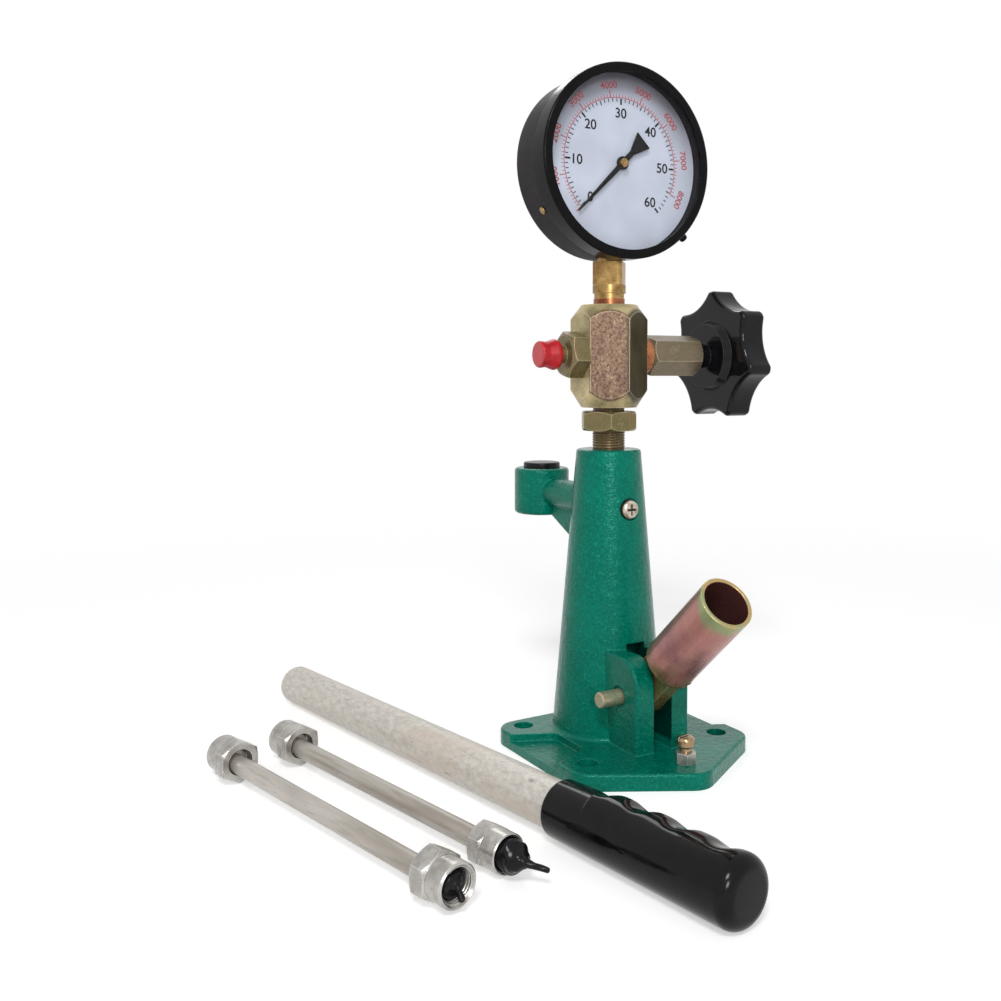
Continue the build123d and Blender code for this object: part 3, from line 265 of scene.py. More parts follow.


# Thick gloss paint over a sand casting: pebbly orange peel with painted glints on its high spots, pale edges
# that are partly wear and partly painted highlight, and painted shade in the slot where the lever swings
def makeGreenEnamel():
    look = Look("greenEnamel", enamel["lit"])
    look.soften = enamel["soften"]
    look.shine(enamel["shine"])
    look.put("Specular Tint", enamel["sheen"])
    broad = look.spread(look.noise(enamel["drift"]))
    fine = look.noise(enamel["grain"], rough=0.6)
    peel = look.noise(enamel["peel"], detail=2.0)
    mottle = look.maths("MULTIPLY_ADD", look.spread(fine, 0.34, 0.62), 0.62, look.times(broad, 0.38))
    body = look.mix(mottle, enamel["deep"], enamel["lit"])
    # painted glints: lighter spots on the high points of the peel
    glintSpots = look.times(look.spread(fine, 0.60, 0.70), look.spread(peel, 0.45, 0.62))
    body = look.over(body, glintSpots, enamel["glint"], 0.4)
    # pale edges: partly wear, partly painted highlight
    rim = look.times(look.edges(enamel["wearAndHighlightEdge"]), look.spread(fine, 0.35, 0.6, to=(0.3, 0.75)))
    body = look.mix(rim, body, enamel["wornAndLit"])
    # painted shade: the enamel is darkened inside the slot between the ears
    slot = enamel["slot"]
    aside = look.maths("ABSOLUTE", look.along(axisFoot, (1, 0, 0)))
    slotShadow = look.fade(aside, slot["half"], slot["half"] + 0.0004)
    slotShadow = look.times(slotShadow, look.spread(look.along(axisFoot, (0, -1, 0)), *slot["deep"]))
    up = look.along(axisFoot, upwards)
    slotShadow = look.times(slotShadow, look.spread(up, *slot["floor"]))
    slotShadow = look.times(slotShadow, look.fade(up, *slot["roof"]))
    look.paint(look.over(body, slotShadow, slot["shade"], 0.85))
    look.satin(peel, *enamel["roughness"])
    look.skin(fine, 0.45, 0.0005, look.bump(peel, 0.55, 0.0008))
    return look


# A turned or milled piece in passivated zinc: drifting tints, a painted highlight along its edges, dark
# specks and fine tool marks
def makeZinc(name, tints, rim, speck, grain=60, metallic=0.5, roughness=0.28, marks=0.4, specks=0.4,
             lines=(1.0, 1.0, 0.12)):
    look = Look(name, tints[0], metallic=metallic)
    look.shine(0.3)
    drift = look.noise(grain, distortion=0.3)
    fleck = look.noise(grain * 14, rough=0.65)
    blend = look.maths("MULTIPLY_ADD", look.spread(drift), 0.6, look.times(look.spread(fleck), 0.4))
    stops = [(index / (len(tints) - 1), tint) for index, tint in enumerate(tints)]
    body = look.ramp(blend, *stops)
    dots = look.spread(look.noise(grain * 18, rough=0.7), 0.60, 0.72)
    body = look.over(body, dots, speck, specks)
    # painted highlight: the edges are lightened
    look.paint(look.over(body, look.edges(0.0010), rim, 0.85))
    scratch = look.noise(700, place=look.moved(scale=lines))
    look.satin(scratch, roughness - 0.1, roughness + 0.14)
    look.skin(scratch, marks, 0.00012, look.bump(fleck, 0.1, 0.0001))
    return look


block = {
    "front": (134, 106, 86), "raw": (74, 54, 42), "olive": (128, 118, 84), "gold": (212, 194, 146),
    "shade": (58, 53, 39), "cream": (240, 222, 180), "speck": (74, 54, 40), "wearAndHighlightEdge": 0.0013,
    "frontFrom": (0.0174, 0.0181), "shadeFrom": (0.0165, 0.0178), "foot": 0.187, "height": 0.05,
}


# The block's front flat is bare metal with cast speckles, the flats beside it are pale gold, the one past it
# is darkened as painted shade, and its edges carry a painted cream highlight. Specks grow denser towards its
# foot.
def makeBlockZinc():
    look = Look("blockZinc", block["front"], metallic=0.35)
    look.shine(0.3)
    drift = look.spread(look.noise(60))
    fleck = look.noise(640, detail=5.0, rough=0.75)
    curl = look.noise(300, rough=0.6, distortion=1.5)
    bare = look.mix(look.spread(fleck, 0.4, 0.56), block["raw"], block["front"])
    bare = look.over(bare, look.spread(curl, 0.52, 0.62), block["raw"], 0.4)
    bare = look.over(bare, look.fade(curl, 0.3, 0.42), block["cream"], 0.22)
    tinted = look.mix(drift, block["olive"], block["gold"])
    body = look.mix(look.spread(look.along(axisFoot, frontFlat), *block["frontFrom"]), tinted, bare)
    # painted shade: the flat past the front is darkened
    shadedSide = look.spread(look.along(axisFoot, shadedFlat), *block["shadeFrom"])
    body = look.over(body, shadedSide, block["shade"], 0.9)
    dots = look.spread(look.noise(1000, rough=0.75), 0.58, 0.66)
    low = look.spread(look.along((0, 0, block["foot"]), upwards), 0.0, block["height"], to=(0.9, 0.35))
    body = look.over(body, dots, block["speck"], low)
    # painted highlight: the edges are lightened to cream
    look.paint(look.over(body, look.edges(block["wearAndHighlightEdge"]), block["cream"], 0.95))
    look.satin(fleck, 0.26, 0.46)
    look.skin(fleck, 0.45, 0.00022)
    return look


socket = {
    "pink": (176, 118, 112), "mauve": (150, 98, 102), "green": (138, 156, 112),
    "gold": (178, 152, 98), "low": (112, 92, 62), "inside": (96, 58, 54),
    "rim": (236, 212, 156), "foot": 0.031, "mouth": 0.089, "boreRadius": 0.0129, "wearAndHighlightEdge": 0.0009,
    "bands": ((0.0, "low"), (0.14, "pink"), (0.36, "mauve"), (0.55, "pink"), (0.80, "pink"), (0.90, "green"),
              (1.0, "gold")),
}


# Passivated tube: bands of pink, mauve, green and gold that wander round it, a painted highlight along its
# edges, and a bore painted darker brown as painted shade
def makeRainbowZinc():
    look = Look("rainbowZinc", socket["pink"], metallic=0.45)
    up = look.along(leverPivot, leverAxis)
    lying = (-leverRise, 0, 0)
    wander = look.noise(34, distortion=1.2, place=look.moved(turn=lying, scale=(1, 0.5, 1)))
    reach = look.spread(up, socket["foot"], socket["mouth"])
    reach = look.maths("ADD", reach, look.spread(wander, to=(-0.16, 0.16)))
    body = look.ramp(reach, *((at, socket[band]) for at, band in socket["bands"]))
    side = look.spread(look.along(axisFoot, (-0.86, 0.3, 0.41)), 0.044, 0.058)
    body = look.over(body, side, socket["green"], 0.75)
    blotch = look.spread(look.noise(150, detail=4.0), 0.45, 0.7)
    body = look.over(body, blotch, socket["gold"], 0.2)
    # painted highlight: the edges and the mouth's rim are lightened
    body = look.over(body, look.edges(socket["wearAndHighlightEdge"]), socket["rim"], 0.9)
    # painted shade: the bore is painted darker brown below the mouth
    out = look.around(leverPivot, leverAxis)
    deep = look.fade(out, socket["boreRadius"] - 0.0003, socket["boreRadius"])
    below = look.fade(up, socket["mouth"] - 0.0005, socket["mouth"] - 0.0001)
    look.paint(look.over(body, deep, socket["inside"], below))
    scratch = look.noise(420, place=look.moved(turn=lying, scale=(1, 0.15, 1)))
    look.satin(scratch, 0.2, 0.38)
    look.skin(scratch, 0.2, 0.00015)
    return look


galvanised = {
    "pale": (219, 214, 205), "grey": (190, 185, 176), "dark": (84, 74, 60),
    "warm": (206, 190, 176),
}


# Galvanised tube: pale spangle with grey specks, warm smears along it and short dark scuffs
def makeGalvanised():
    look = Look("galvanisedTube", galvanised["pale"], metallic=0.2)
    look.shine(0.35)
    turn = (0, 0, handleHeading)
    spangle = look.noise(420, detail=5.0, rough=0.75, place=look.moved(turn, (0.5, 1, 1)))
    body = look.mix(look.spread(spangle, 0.38, 0.62), galvanised["grey"], galvanised["pale"])
    smear = look.noise(60, place=look.moved(turn, (0.25, 1, 1)))
    body = look.over(body, look.spread(smear, 0.5, 0.7), galvanised["warm"], 0.6)
    specks = look.spread(look.noise(560, detail=2.0, rough=0.7), 0.68, 0.73)
    patch = look.spread(look.noise(45, detail=2.0), 0.45, 0.6)
    body = look.over(body, look.times(specks, patch), galvanised["dark"], 0.9)
    stains = look.spread(look.noise(260, detail=4.0, rough=0.75), 0.60, 0.70)
    body = look.over(body, look.times(stains, patch), galvanised["dark"], 0.4)
    streaks = look.noise(420, detail=2.0, place=look.moved(turn, (0.12, 1, 1)))
    body = look.over(body, look.spread(streaks, 0.66, 0.76), galvanised["dark"], 0.6)
    look.paint(body)
    look.satin(spangle, 0.34, 0.55)
    look.skin(spangle, 0.35, 0.0002)
    return look


# Drawn tube: a satin surface with faint lengthwise marks and warm patches
def makePipeSteel():
    look = Look("pipeSteel", (206, 200, 190), metallic=0.35)
    look.shine(0.4)
    turn = (0, 0, pipesHeading)
    marks = look.noise(600, place=look.moved(turn, (0.08, 1, 1)))
    drift = look.noise(90, place=look.moved(turn, (0.15, 1, 1)))
    body = look.mix(look.spread(drift, 0.35, 0.65), (154, 147, 137), (192, 186, 178))
    body = look.over(body, look.spread(marks, 0.55, 0.72), (138, 126, 110), 0.5)
    look.paint(body)
    look.satin(marks, 0.26, 0.44)
    look.skin(marks, 0.25, 0.0001)
    return look


# Plain bright plating on nuts: satin silver, a painted highlight along the crisp chamfer lines, and small
# dings
def makePaleZinc():
    look = Look("paleZinc", (186, 183, 178), metallic=0.65)
    drift = look.noise(120, detail=4.0)
    body = look.mix(look.spread(drift, 0.35, 0.65), (146, 142, 136), (190, 187, 182))
    dots = look.spread(look.noise(900, detail=2.0, rough=0.7), 0.62, 0.72)
    body = look.over(body, dots, (110, 104, 96), 0.4)
    # painted highlight: the chamfer edges are lightened almost to white
    look.paint(look.over(body, look.edges(0.0006), (250, 250, 250), 0.95))
    look.satin(drift, 0.2, 0.36)
    look.skin(drift, 0.25, 0.0003)
    return look


# Yellow metal: soft copper washers, turned brass fittings and the works behind the dial, with a painted
# highlight along the edges
def makeYellowMetal(name, light, dark, rim):
    look = Look(name, light, metallic=0.75)
    drift = look.noise(160, detail=4.0, distortion=0.4)
    body = look.mix(look.spread(drift, 0.36, 0.66), dark, light)
    # painted highlight: the edges are lightened
    look.paint(look.over(body, look.edges(0.0006), rim, 0.8))
    lines = look.noise(900, detail=2.0, place=look.moved(scale=(0.3, 0.3, 3.0)))
    look.satin(lines, 0.2, 0.4)
    look.skin(lines, 0.2, 0.0001)
    return look


# Steel that was ground or turned: hidden working pieces and small screws
def makeHardSteel(name, light, dark):
    look = Look(name, light, metallic=0.85)
    lines = look.noise(800, place=look.moved(scale=(0.25, 0.25, 4.0)))
    drift = look.noise(90)
    look.paint(look.mix(look.spread(drift, 0.35, 0.65), dark, light))
    look.satin(lines, 0.18, 0.34)
    look.skin(lines, 0.25, 0.0001)
    return look


# Paint, moulding or rubber in a dark colour: a faint mottling, dust in the roughness, a fine skin and, where
# an edge colour is given, a painted highlight along the edges
def makeDark(name, colour, lighter, roughness, specular, skin=400, depth=0.00012, rim=None):
    look = Look(name, colour)
    look.shine(specular)
    grain = look.noise(skin, detail=4.0, rough=0.6)
    dust = look.noise(55)
    body = look.mix(look.spread(grain), colour, lighter)
    # painted highlight: the edges are lightened, where an edge colour is given
    if rim:
        body = look.over(body, look.edges(0.0007), rim, 0.8)
    look.paint(body)
    look.satin(dust, roughness - 0.05, roughness + 0.08)
    look.skin(grain, 0.3, depth)
    return look


cap = {
    "side": (198, 30, 38), "shade": (154, 14, 24), "end": (202, 82, 88),
    "endFrom": (0.0440, 0.0452),
}


# Red rubber: a little paler over its closed end, and matt with a fine skin
def makeRedRubber():
    look = Look("redRubber", cap["side"])
    look.shine(0.35)
    grain = look.noise(260, detail=4.0)
    out = look.along(valveCentre, outletAxis)
    body = look.mix(look.spread(grain), cap["shade"], cap["side"])
    look.paint(look.mix(look.spread(out, *cap["endFrom"]), body, cap["end"]))
    look.satin(grain, 0.3, 0.46)
    look.skin(grain, 0.3, 0.00025)
    return look


dial = {
    "white": (226, 234, 252), "grey": (112, 106, 116), "warm": (214, 206, 220),
    "ink": (22, 22, 26), "red": (196, 70, 74), "shadedOut": (0.031, 0.046),
    "shadedUp": (-0.01, 0.034),
}


# Painted shade: the dial is painted darker towards its upper rim, standing in for the shadow of the deep
# bezel that keeps the light off it.
def makeDialWhite():
    look = Look("dialWhite", dial["white"], roughness=0.45)
    look.shine(0.2)
    out = look.around(dialCentre, dialAxis)
    up = look.along(dialCentre, upwards)
    shade = look.times(look.spread(out, *dial["shadedOut"]), look.spread(up, *dial["shadedUp"]))
    haze = look.noise(40, detail=2.0)
    # painted shade: greyer towards the upper rim
    body = look.mix(look.times(shade, 0.9), dial["white"], dial["grey"])
    body = look.over(body, look.spread(haze), dial["warm"], 0.1)
    look.paint(body)
    look.skin(look.noise(500, detail=2.0), 0.05, 0.0001)
    return look


pointer = {
    "black": (14, 14, 15), "brass": (214, 182, 122), "tarnish": (150, 112, 58),
    "capRadius": (0.00236, 0.0024), "capFrom": (0.01385, 0.0139),
}


# The pointer is black with a brass cap over its hub, so the two meet on a circle round the arbor.
def makePointerBlack():
    look = Look("pointerBlack", pointer["black"], roughness=0.35)
    out = look.around(dialCentre, dialAxis)
    ahead = look.along(dialCentre, dialAxis)
    capped = look.times(look.fade(out, *pointer["capRadius"]), look.spread(ahead, *pointer["capFrom"]))
    brass = look.mix(look.spread(look.noise(700), 0.35, 0.65), pointer["tarnish"], pointer["brass"])
    look.paint(look.mix(capped, pointer["black"], brass))
    look.put("Metallic", look.times(capped, 0.8))
    look.shine(0.25)
    look.skin(look.noise(600, detail=2.0), 0.1, 0.0001)
    return look


# Clear flat glass: see-through apart from its shine, with a trace of haze so that it doesn't look empty
def makeClearGlass():
    look = Look("clearGlass", (16, 18, 20))
    look.shine(1.0)
    smear = look.noise(60)
    look.put("Alpha", look.spread(smear, to=(0.07, 0.12)))
    look.put("Roughness", look.spread(smear, 0.4, 0.7, to=(0.02, 0.07)))
    return look


# The cross-headed screw is bright on top, and painted shade darkens it to brown deeper in, in its cross and
# under its rim.
def makeCrossScrew():
    look = Look("crossScrew", (206, 196, 180), metallic=0.45)
    drift = look.noise(300, detail=4.0)
    body = look.mix(look.spread(drift, 0.35, 0.65), (160, 146, 124), (222, 214, 200))
    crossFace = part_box("locating_screw")[0][1]
    # painted shade: darker brown deeper in, in the cross and under the head's rim
    deep = look.spread(look.along((0, crossFace, 0), (0, 1, 0)), 0.0009, 0.0017)
    look.paint(look.mix(deep, body, (58, 40, 28)))
    look.satin(drift, 0.18, 0.36)
    look.skin(drift, 0.3, 0.0002)
    return look


wear(makeGreenEnamel(), "stand_casting", "oil_cup")
oliveTints = [(84, 72, 48), (126, 110, 78), (104, 100, 64), (166, 144, 106)]
wear(makeZinc("oliveZinc", oliveTints, (220, 204, 164), (60, 50, 34)), "lock_nut", "outlet_union")
studTints = [(66, 50, 32), (96, 76, 52), (76, 62, 42), (112, 90, 60)]
studZinc = makeZinc("studZinc", studTints, (190, 168, 126), (50, 36, 24), grain=120)
wear(studZinc, "valve_holder")
wear(makeBlockZinc(), "valve_block")
umberTints = [(92, 80, 66), (124, 110, 91), (112, 102, 78), (142, 128, 106)]
wear(makeZinc("umberZinc", umberTints, (206, 196, 170), (74, 62, 44), grain=70, lines=(0.12, 1.0, 1.0)),
     "bonnet")
goldTints = [(112, 90, 54), (150, 128, 82), (132, 122, 78), (170, 146, 98)]
wear(makeZinc("goldZinc", goldTints, (224, 206, 166), (66, 48, 30), grain=140, specks=0.5), "lever_tongue")
pinTints = [(146, 134, 108), (168, 156, 130), (152, 156, 128), (184, 170, 142)]
wear(makeZinc("pinZinc", pinTints, (230, 218, 190), (90, 76, 54), grain=160), "pivot_pin")
screwTints = [(116, 88, 60), (176, 150, 116), (150, 124, 92), (214, 192, 160)]
wear(makeZinc("screwZinc", screwTints, (244, 232, 212), (60, 40, 24), grain=220, metallic=0.85,
              roughness=0.22), "stop_screw")
wear(makeCrossScrew(), "locating_screw")
paleZinc = makePaleZinc()
wear(paleZinc, "stop_nut", "wheel_nut", "front_pipe_near_nut", "front_pipe_far_nut", "rear_pipe_near_nut",
     "rear_pipe_far_nut")
wear(makeRainbowZinc(), "socket_tube")
wear(makeYellowMetal("softCopper", (176, 112, 74), (112, 62, 40), (232, 190, 146)), "seat_washer",
     "bonnet_washer", "shank_washer")
wear(makeYellowMetal("turnedBrass", (184, 150, 92), (128, 96, 52), (238, 216, 164)), "gauge_shank",
     "bourdon_tube", "movement_plates", "pinion_arbor", "sector_gear", "gauge_link", "case_screws")
wear(makeHardSteel("hardSteel", (168, 168, 168), (122, 122, 124)), "base_plug", "pump_barrel", "valve_seat",
     "tappet", "plunger", "delivery_valve", "roller_pin", "tappet_roller", "needle_tip", "spindle")
wear(makeDark("packingFelt", (58, 54, 48), (92, 86, 76), 0.8, 0.2, skin=1200, depth=0.0003), "packing")
wear(makeDark("caseBlack", (38, 36, 39), (54, 50, 53), 0.5, 0.08, skin=900, depth=0.0001), "gauge_case")
wear(makeDark("bezelBlack", (8, 8, 9), (16, 16, 18), 0.2, 0.09, skin=300), "gauge_bezel", "bezel_nub")
wear(makeDark("wheelBlack", (13, 13, 15), (22, 22, 25), 0.08, 0.2, skin=150, rim=(74, 74, 80)), "star_wheel")
blackRubber = makeDark("blackRubber", (14, 14, 16), (26, 26, 28), 0.22, 0.16, skin=350)
wear(blackRubber, "cup_plug", "front_plug", "rear_plug")
wear(makeRedRubber(), "outlet_cap")
wear(makeDialWhite(), "gauge_dial")
wear(makePointerBlack(), "pointer")
wear(makeClearGlass(), "gauge_glass")
wear(makeGalvanised(), "handle_tube")
gripDark = makeDark("gripDark", (12, 11, 12), (20, 18, 19), 0.1, 0.15, skin=120, depth=0.00015)
wear(gripDark, "handle_grip")
wear(makePipeSteel(), "front_pipe", "rear_pipe")
print("finishes given to", len(nodes), "nodes")


# Shared mesh helpers: every new piece is a grid of points, closed where it should be

# corners that lie on one another are joined, and every face is turned outwards
def closeMesh(mesh):
    work = bmesh.new()
    work.from_mesh(mesh)
    bmesh.ops.remove_doubles(work, verts=work.verts, dist=1e-7)
    bmesh.ops.recalc_face_normals(work, faces=work.faces)
    work.to_mesh(mesh)
    work.free()


def addPiece(name, mesh, body):
    piece = bpy.data.objects.new(name, mesh)
    scene.collection.objects.link(piece)
    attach(piece, body)
    return piece


def makePiece(name, points, faces, body, look, smooth=True):
    mesh = bpy.data.meshes.new(name)
    mesh.vertices.add(len(points))
    mesh.vertices.foreach_set("co", np.asarray(points, dtype=np.float32).ravel())
    faces = np.asarray(faces)
    mesh.loops.add(faces.size)
    mesh.loops.foreach_set("vertex_index", faces.ravel().astype(np.int32))
    mesh.polygons.add(len(faces))
    mesh.polygons.foreach_set("loop_start", np.arange(0, faces.size, faces.shape[1], dtype=np.int32))
    mesh.update(calc_edges=True)
    mesh.validate()
    closeMesh(mesh)
    mesh.polygons.foreach_set("use_smooth", np.full(len(mesh.polygons), smooth))
    mesh.materials.append(look.material)
    return addPiece(name, mesh, body)


# quads between the rows of a grid, wrapped round from its last column to its first
def gridFaces(rows, columns):
    row = np.arange(rows - 1)[:, None] * columns
    column = np.arange(columns)[None, :]
    beside = (column + 1) % columns
    corners = [row + column, row + beside, row + columns + beside, row + columns + column]
    return np.stack(corners, axis=-1).reshape(-1, 4)


# points at a distance from an axis, an angle round it and a place along it
def polar(out, angle, along):
    return np.stack(np.broadcast_arrays(out * np.cos(angle), out * np.sin(angle), along), axis=-1)


# angles evenly round a circle, as a row
def roundAngles(count):
    return np.linspace(0, 2 * np.pi, count, endpoint=False)[None, :]


# points given in a frame of their own (across, beside, along) brought to the world
def placed(points, origin, x, y, z):
    base = np.array([x, y, z])
    return np.asarray(points).reshape(-1, 3) @ base + np.array(origin)


# Dial print

print("dial print")
dialPrint = {
    "zeroAngle": 225.0, "sweep": 270.0, "lift": 0.00003, "thick": 0.00005, "face": 0.0114,
    "blackEnd": 0.0347, "minor": (0.0018, 0.00026), "medium": (0.0026, 0.00030), "major": (0.0033, 0.00052),
    "redStep": 31.03, "redStart": 0.0354, "redMinor": (0.0016, 0.00016), "redMajor": (0.0036, 0.00026),
    "arc": (0.0350, 0.0354), "numberRadius": 0.0270, "numberSize": 0.0074, "numberWeight": 0.00011,
    "redRadius": 0.0418, "redSize": 0.0053, "redWeight": 0.00006,
}


# points on the dial: across, up and out towards the viewer, brought to the world
def onDial(points):
    return placed(points, dialCentre, wheelAxis, upwards, dialAxis)


# Flat bars: each is a box between two radii at one angle, as wide as twice its half width.
def makeTicks(name, angles, inner, outer, halfWidth, look):
    angles, inner, outer, halfWidth = (np.asarray(values, dtype=float)[:, None]
                                       for values in (angles, inner, outer, halfWidth))
    farEnd = np.array([0, 1, 1, 0, 0, 1, 1, 0])
    side = np.array([-1, -1, 1, 1, -1, -1, 1, 1])
    depth = dialPrint["face"] + dialPrint["lift"] + dialPrint["thick"] * np.array([0, 0, 0, 0, 1, 1, 1, 1])
    along = inner + (outer - inner) * farEnd
    across = halfWidth * side
    x = along * np.cos(angles) - across * np.sin(angles)
    y = along * np.sin(angles) + across * np.cos(angles)
    points = onDial(np.stack([x, y, np.broadcast_to(depth, x.shape)], axis=-1))
    box = np.array([[0, 3, 2, 1], [4, 5, 6, 7], [0, 1, 5, 4], [1, 2, 6, 5], [2, 3, 7, 6], [3, 0, 4, 7]])
    faces = (np.arange(len(angles))[:, None, None] * 8 + box[None]).reshape(-1, 4)
    return makePiece(name, points, faces, "stand", look, smooth=False)


# A flat band: four corners of a thin section carried round an arc between two angles, with closed ends.
def makeArc(name, inner, outer, start, end, look):
    steps = 160
    angle = np.radians(np.linspace(start, end, steps))[:, None]
    low = dialPrint["face"] + dialPrint["lift"]
    high = low + dialPrint["thick"]
    radius = np.array([[inner, outer, outer, inner]])
    points = onDial(polar(radius, angle, [low, low, high, high]))
    last = steps * 4 - 1
    faces = np.vstack([gridFaces(steps, 4), [[0, 1, 2, 3], [last, last - 1, last - 2, last - 3]]])
    return makePiece(name, points, faces, "stand", look, smooth=False)


# A number in the plain built-in letters as thin as ink, set at a radius and angle and turned in the dial's
# plane: each point's x and y are turned and shifted to that place, and its depth stands on the dial's face.
def makeNumber(name, text, radius, angle, turn, size, weight, look):
    data = bpy.data.curves.new(name, "FONT")
    data.body = text
    data.size = size
    data.align_x = "CENTER"
    data.align_y = "CENTER"
    data.offset = weight
    data.extrude = dialPrint["thick"] / 2
    words = bpy.data.objects.new(name + "Text", data)
    scene.collection.objects.link(words)
    bpy.context.view_layer.update()
    mesh = bpy.data.meshes.new_from_object(words.evaluated_get(bpy.context.evaluated_depsgraph_get()))
    bpy.data.objects.remove(words)
    flat = np.empty(len(mesh.vertices) * 3, dtype=np.float32)
    mesh.vertices.foreach_get("co", flat)
    flat = flat.reshape(-1, 3)
    middle = (flat.min(axis=0) + flat.max(axis=0)) / 2
    flat = flat - np.array([middle[0], middle[1], 0])
    cos, sin = math.cos(turn), math.sin(turn)
    x = flat[:, 0] * cos - flat[:, 1] * sin + radius * math.cos(angle)
    y = flat[:, 0] * sin + flat[:, 1] * cos + radius * math.sin(angle)
    depth = flat[:, 2] + dialPrint["face"] + dialPrint["lift"] + dialPrint["thick"] / 2
    mesh.vertices.foreach_set("co", onDial(np.stack([x, y, depth], axis=-1)).astype(np.float32).ravel())
    closeMesh(mesh)
    mesh.materials.clear()
    mesh.materials.append(look.material)
    addPiece(name, mesh, "stand")


# Printing ink: a dry edge and thin spots keep it from being one flat colour
def makeInk(name, colour, thin):
    look = Look(name, colour)
    look.shine(0.2)
    grain = look.noise(2400)
    look.paint(look.mix(look.spread(grain, 0.45, 0.75), colour, thin))
    look.satin(grain, 0.42, 0.6)
    return look


def makeDialPrint():
    blackInk = makeInk("blackInk", dial["ink"], (70, 70, 78))
    redInk = makeInk("redInk", dial["red"], (216, 130, 134))
    zero, sweep, redStep = dialPrint["zeroAngle"], dialPrint["sweep"], dialPrint["redStep"]
    count = np.arange(61)
    angles = np.radians(zero - sweep * count / 60)
    kinds = np.array([dialPrint["minor"], dialPrint["medium"], dialPrint["major"]])
    kind = kinds[np.where(count % 10 == 0, 2, np.where(count % 5 == 0, 1, 0))]
    outer = np.full(61, dialPrint["blackEnd"])
    makeTicks("dialTicks", angles, outer - kind[:, 0], outer, kind[:, 1], blackInk)
    fine = np.arange(81)
    redAngles = np.radians(zero - redStep * fine / 10)
    kinds = np.array([dialPrint["redMinor"], dialPrint["redMajor"]])
    kind = kinds[np.where(fine % 10 == 0, 1, 0)]
    inner = np.full(81, dialPrint["redStart"])
    makeTicks("dialFineTicks", redAngles, inner, inner + kind[:, 0], kind[:, 1], redInk)
    makeArc("dialArc", *dialPrint["arc"], zero - 8 * redStep, zero, redInk)
    for tens in range(7):
        angle = math.radians(zero - sweep * tens / 6)
        makeNumber(f"dialNumber{tens * 10}", str(tens * 10), dialPrint["numberRadius"], angle, 0.0,
                   dialPrint["numberSize"], dialPrint["numberWeight"], blackInk)
    for thousand in range(1, 9):
        angle = math.radians(zero - redStep * thousand)
        makeNumber(f"dialFineNumber{thousand}", str(thousand * 1000), dialPrint["redRadius"], angle,
                   angle - math.pi / 2, dialPrint["redSize"], dialPrint["redWeight"], redInk)


makeDialPrint()


# Threads

print("threads")
studThread = {"radius": 0.00872, "height": 0.00042, "pitch": 0.0015, "start": 0.1637, "end": 0.1737}
mouthThread = {"radius": 0.00722, "height": 0.00055, "pitch": 0.0015, "start": 0.0130, "end": 0.0184}
threadSection = {
    "rise": [0, 0, 1, 1, 0, 0], "sunk": [1, 0, 0, 0, 0, 1], "across": [-0.46, -0.42, -0.06, 0.06, 0.42, 0.46],
    "sink": 0.00015, "thinnest": 0.05, "stepsPerTurn": 40,
}


# A screw ridge: a section with a flat crest, its feet sunk into the surface, is carried along a helix. Its
# height fades out over the first and last half turn.
def makeThread(name, origin, x, y, z, radius, height, pitch, start, end, body, slot, look, inward=False):
    turns = (end - start) / pitch
    steps = int(turns * threadSection["stepsPerTurn"]) + 1
    turn = np.linspace(0, turns, steps)[:, None]
    fade = np.clip(np.minimum(turn, turns - turn) * 2, 0, 1)
    crest, sunk, across = (np.array([threadSection[key]]) for key in ("rise", "sunk", "across"))
    rise = height * fade * crest - threadSection["sink"] * sunk
    out = radius + (-rise if inward else rise)
    angle = 2 * np.pi * turn
    along = start + pitch * (turn + across * np.maximum(fade, threadSection["thinnest"]))
    along = np.clip(along, start, end)
    points = placed(polar(out, angle, along), origin, x, y, z)
    ends = np.array([[0, 1, 2, 3], [0, 3, 4, 5], [3, 2, 1, 0], [5, 4, 3, 0]])
    ends[2:] += (steps - 1) * 6
    return makePiece(name, points, np.vstack([gridFaces(steps, 6), ends]), body, look)


makeThread("studThread", axisFoot, (1, 0, 0), (0, 1, 0), upwards, **studThread, body="stand",
           slot="olive_zinc", look=studZinc)


# Springs

print("springs")
springs = {
    "pump": {"mean": 0.0080, "wire": 0.00115, "turns": 7.5, "lift": 0.0250},
    "delivery": {"mean": 0.00355, "wire": 0.0005, "turns": 6.5, "lift": 0.0020},
}
endCoil = 0.8  # how much of a turn lies flat at each end
springSteel = makeHardSteel("springSteel", (120, 120, 124), (80, 80, 84))


# Round wire along a helix on the tower's axis, whose height rises slowly over the end coils.
# Known fault: the grid isn't flattened to a list, so makePiece keeps only as many points as it has rows, and
# about half a turn of each coil is built.
def makeSpring(name, replaced, joint, mean, wire, turns, lift):
    low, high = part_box(replaced)
    steps, corners = int(turns * 48), 14
    share = np.linspace(0, 1, steps)[:, None]
    phi = roundAngles(corners)
    edge = endCoil / turns
    eased = np.clip((share - edge) / (1 - 2 * edge), 0, 1)
    rise = wire * np.clip(share / edge, 0, 1) + wire * np.clip((share - 1 + edge) / edge, 0, 1)
    height = low[2] + wire + rise + (high[2] - low[2] - 4 * wire) * eased
    angle = 2 * np.pi * turns * share
    section = wire * np.where((share == 0) | (share == 1), 0.02, 1)
    out = mean + section * np.cos(phi)
    points = polar(out, angle, height + section * np.sin(phi))
    last = (steps - 1) * corners
    first = np.arange(1, corners - 2, 2)
    nearEnd = np.stack([0 * first, first, first + 1, first + 2], axis=1)
    farEnd = last + np.stack([0 * first, first + 2, first + 1, first], axis=1)
    faces = np.vstack([gridFaces(steps, corners), nearEnd, farEnd])
    piece = makePiece(name, points, faces, "stand", springSteel)
    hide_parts(replaced)
    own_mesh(piece)


makeSpring("pumpSpring", "return_spring", "lever_swing", **springs["pump"])
makeSpring("deliverySpring", "delivery_spring", "delivery_lift", **springs["delivery"])


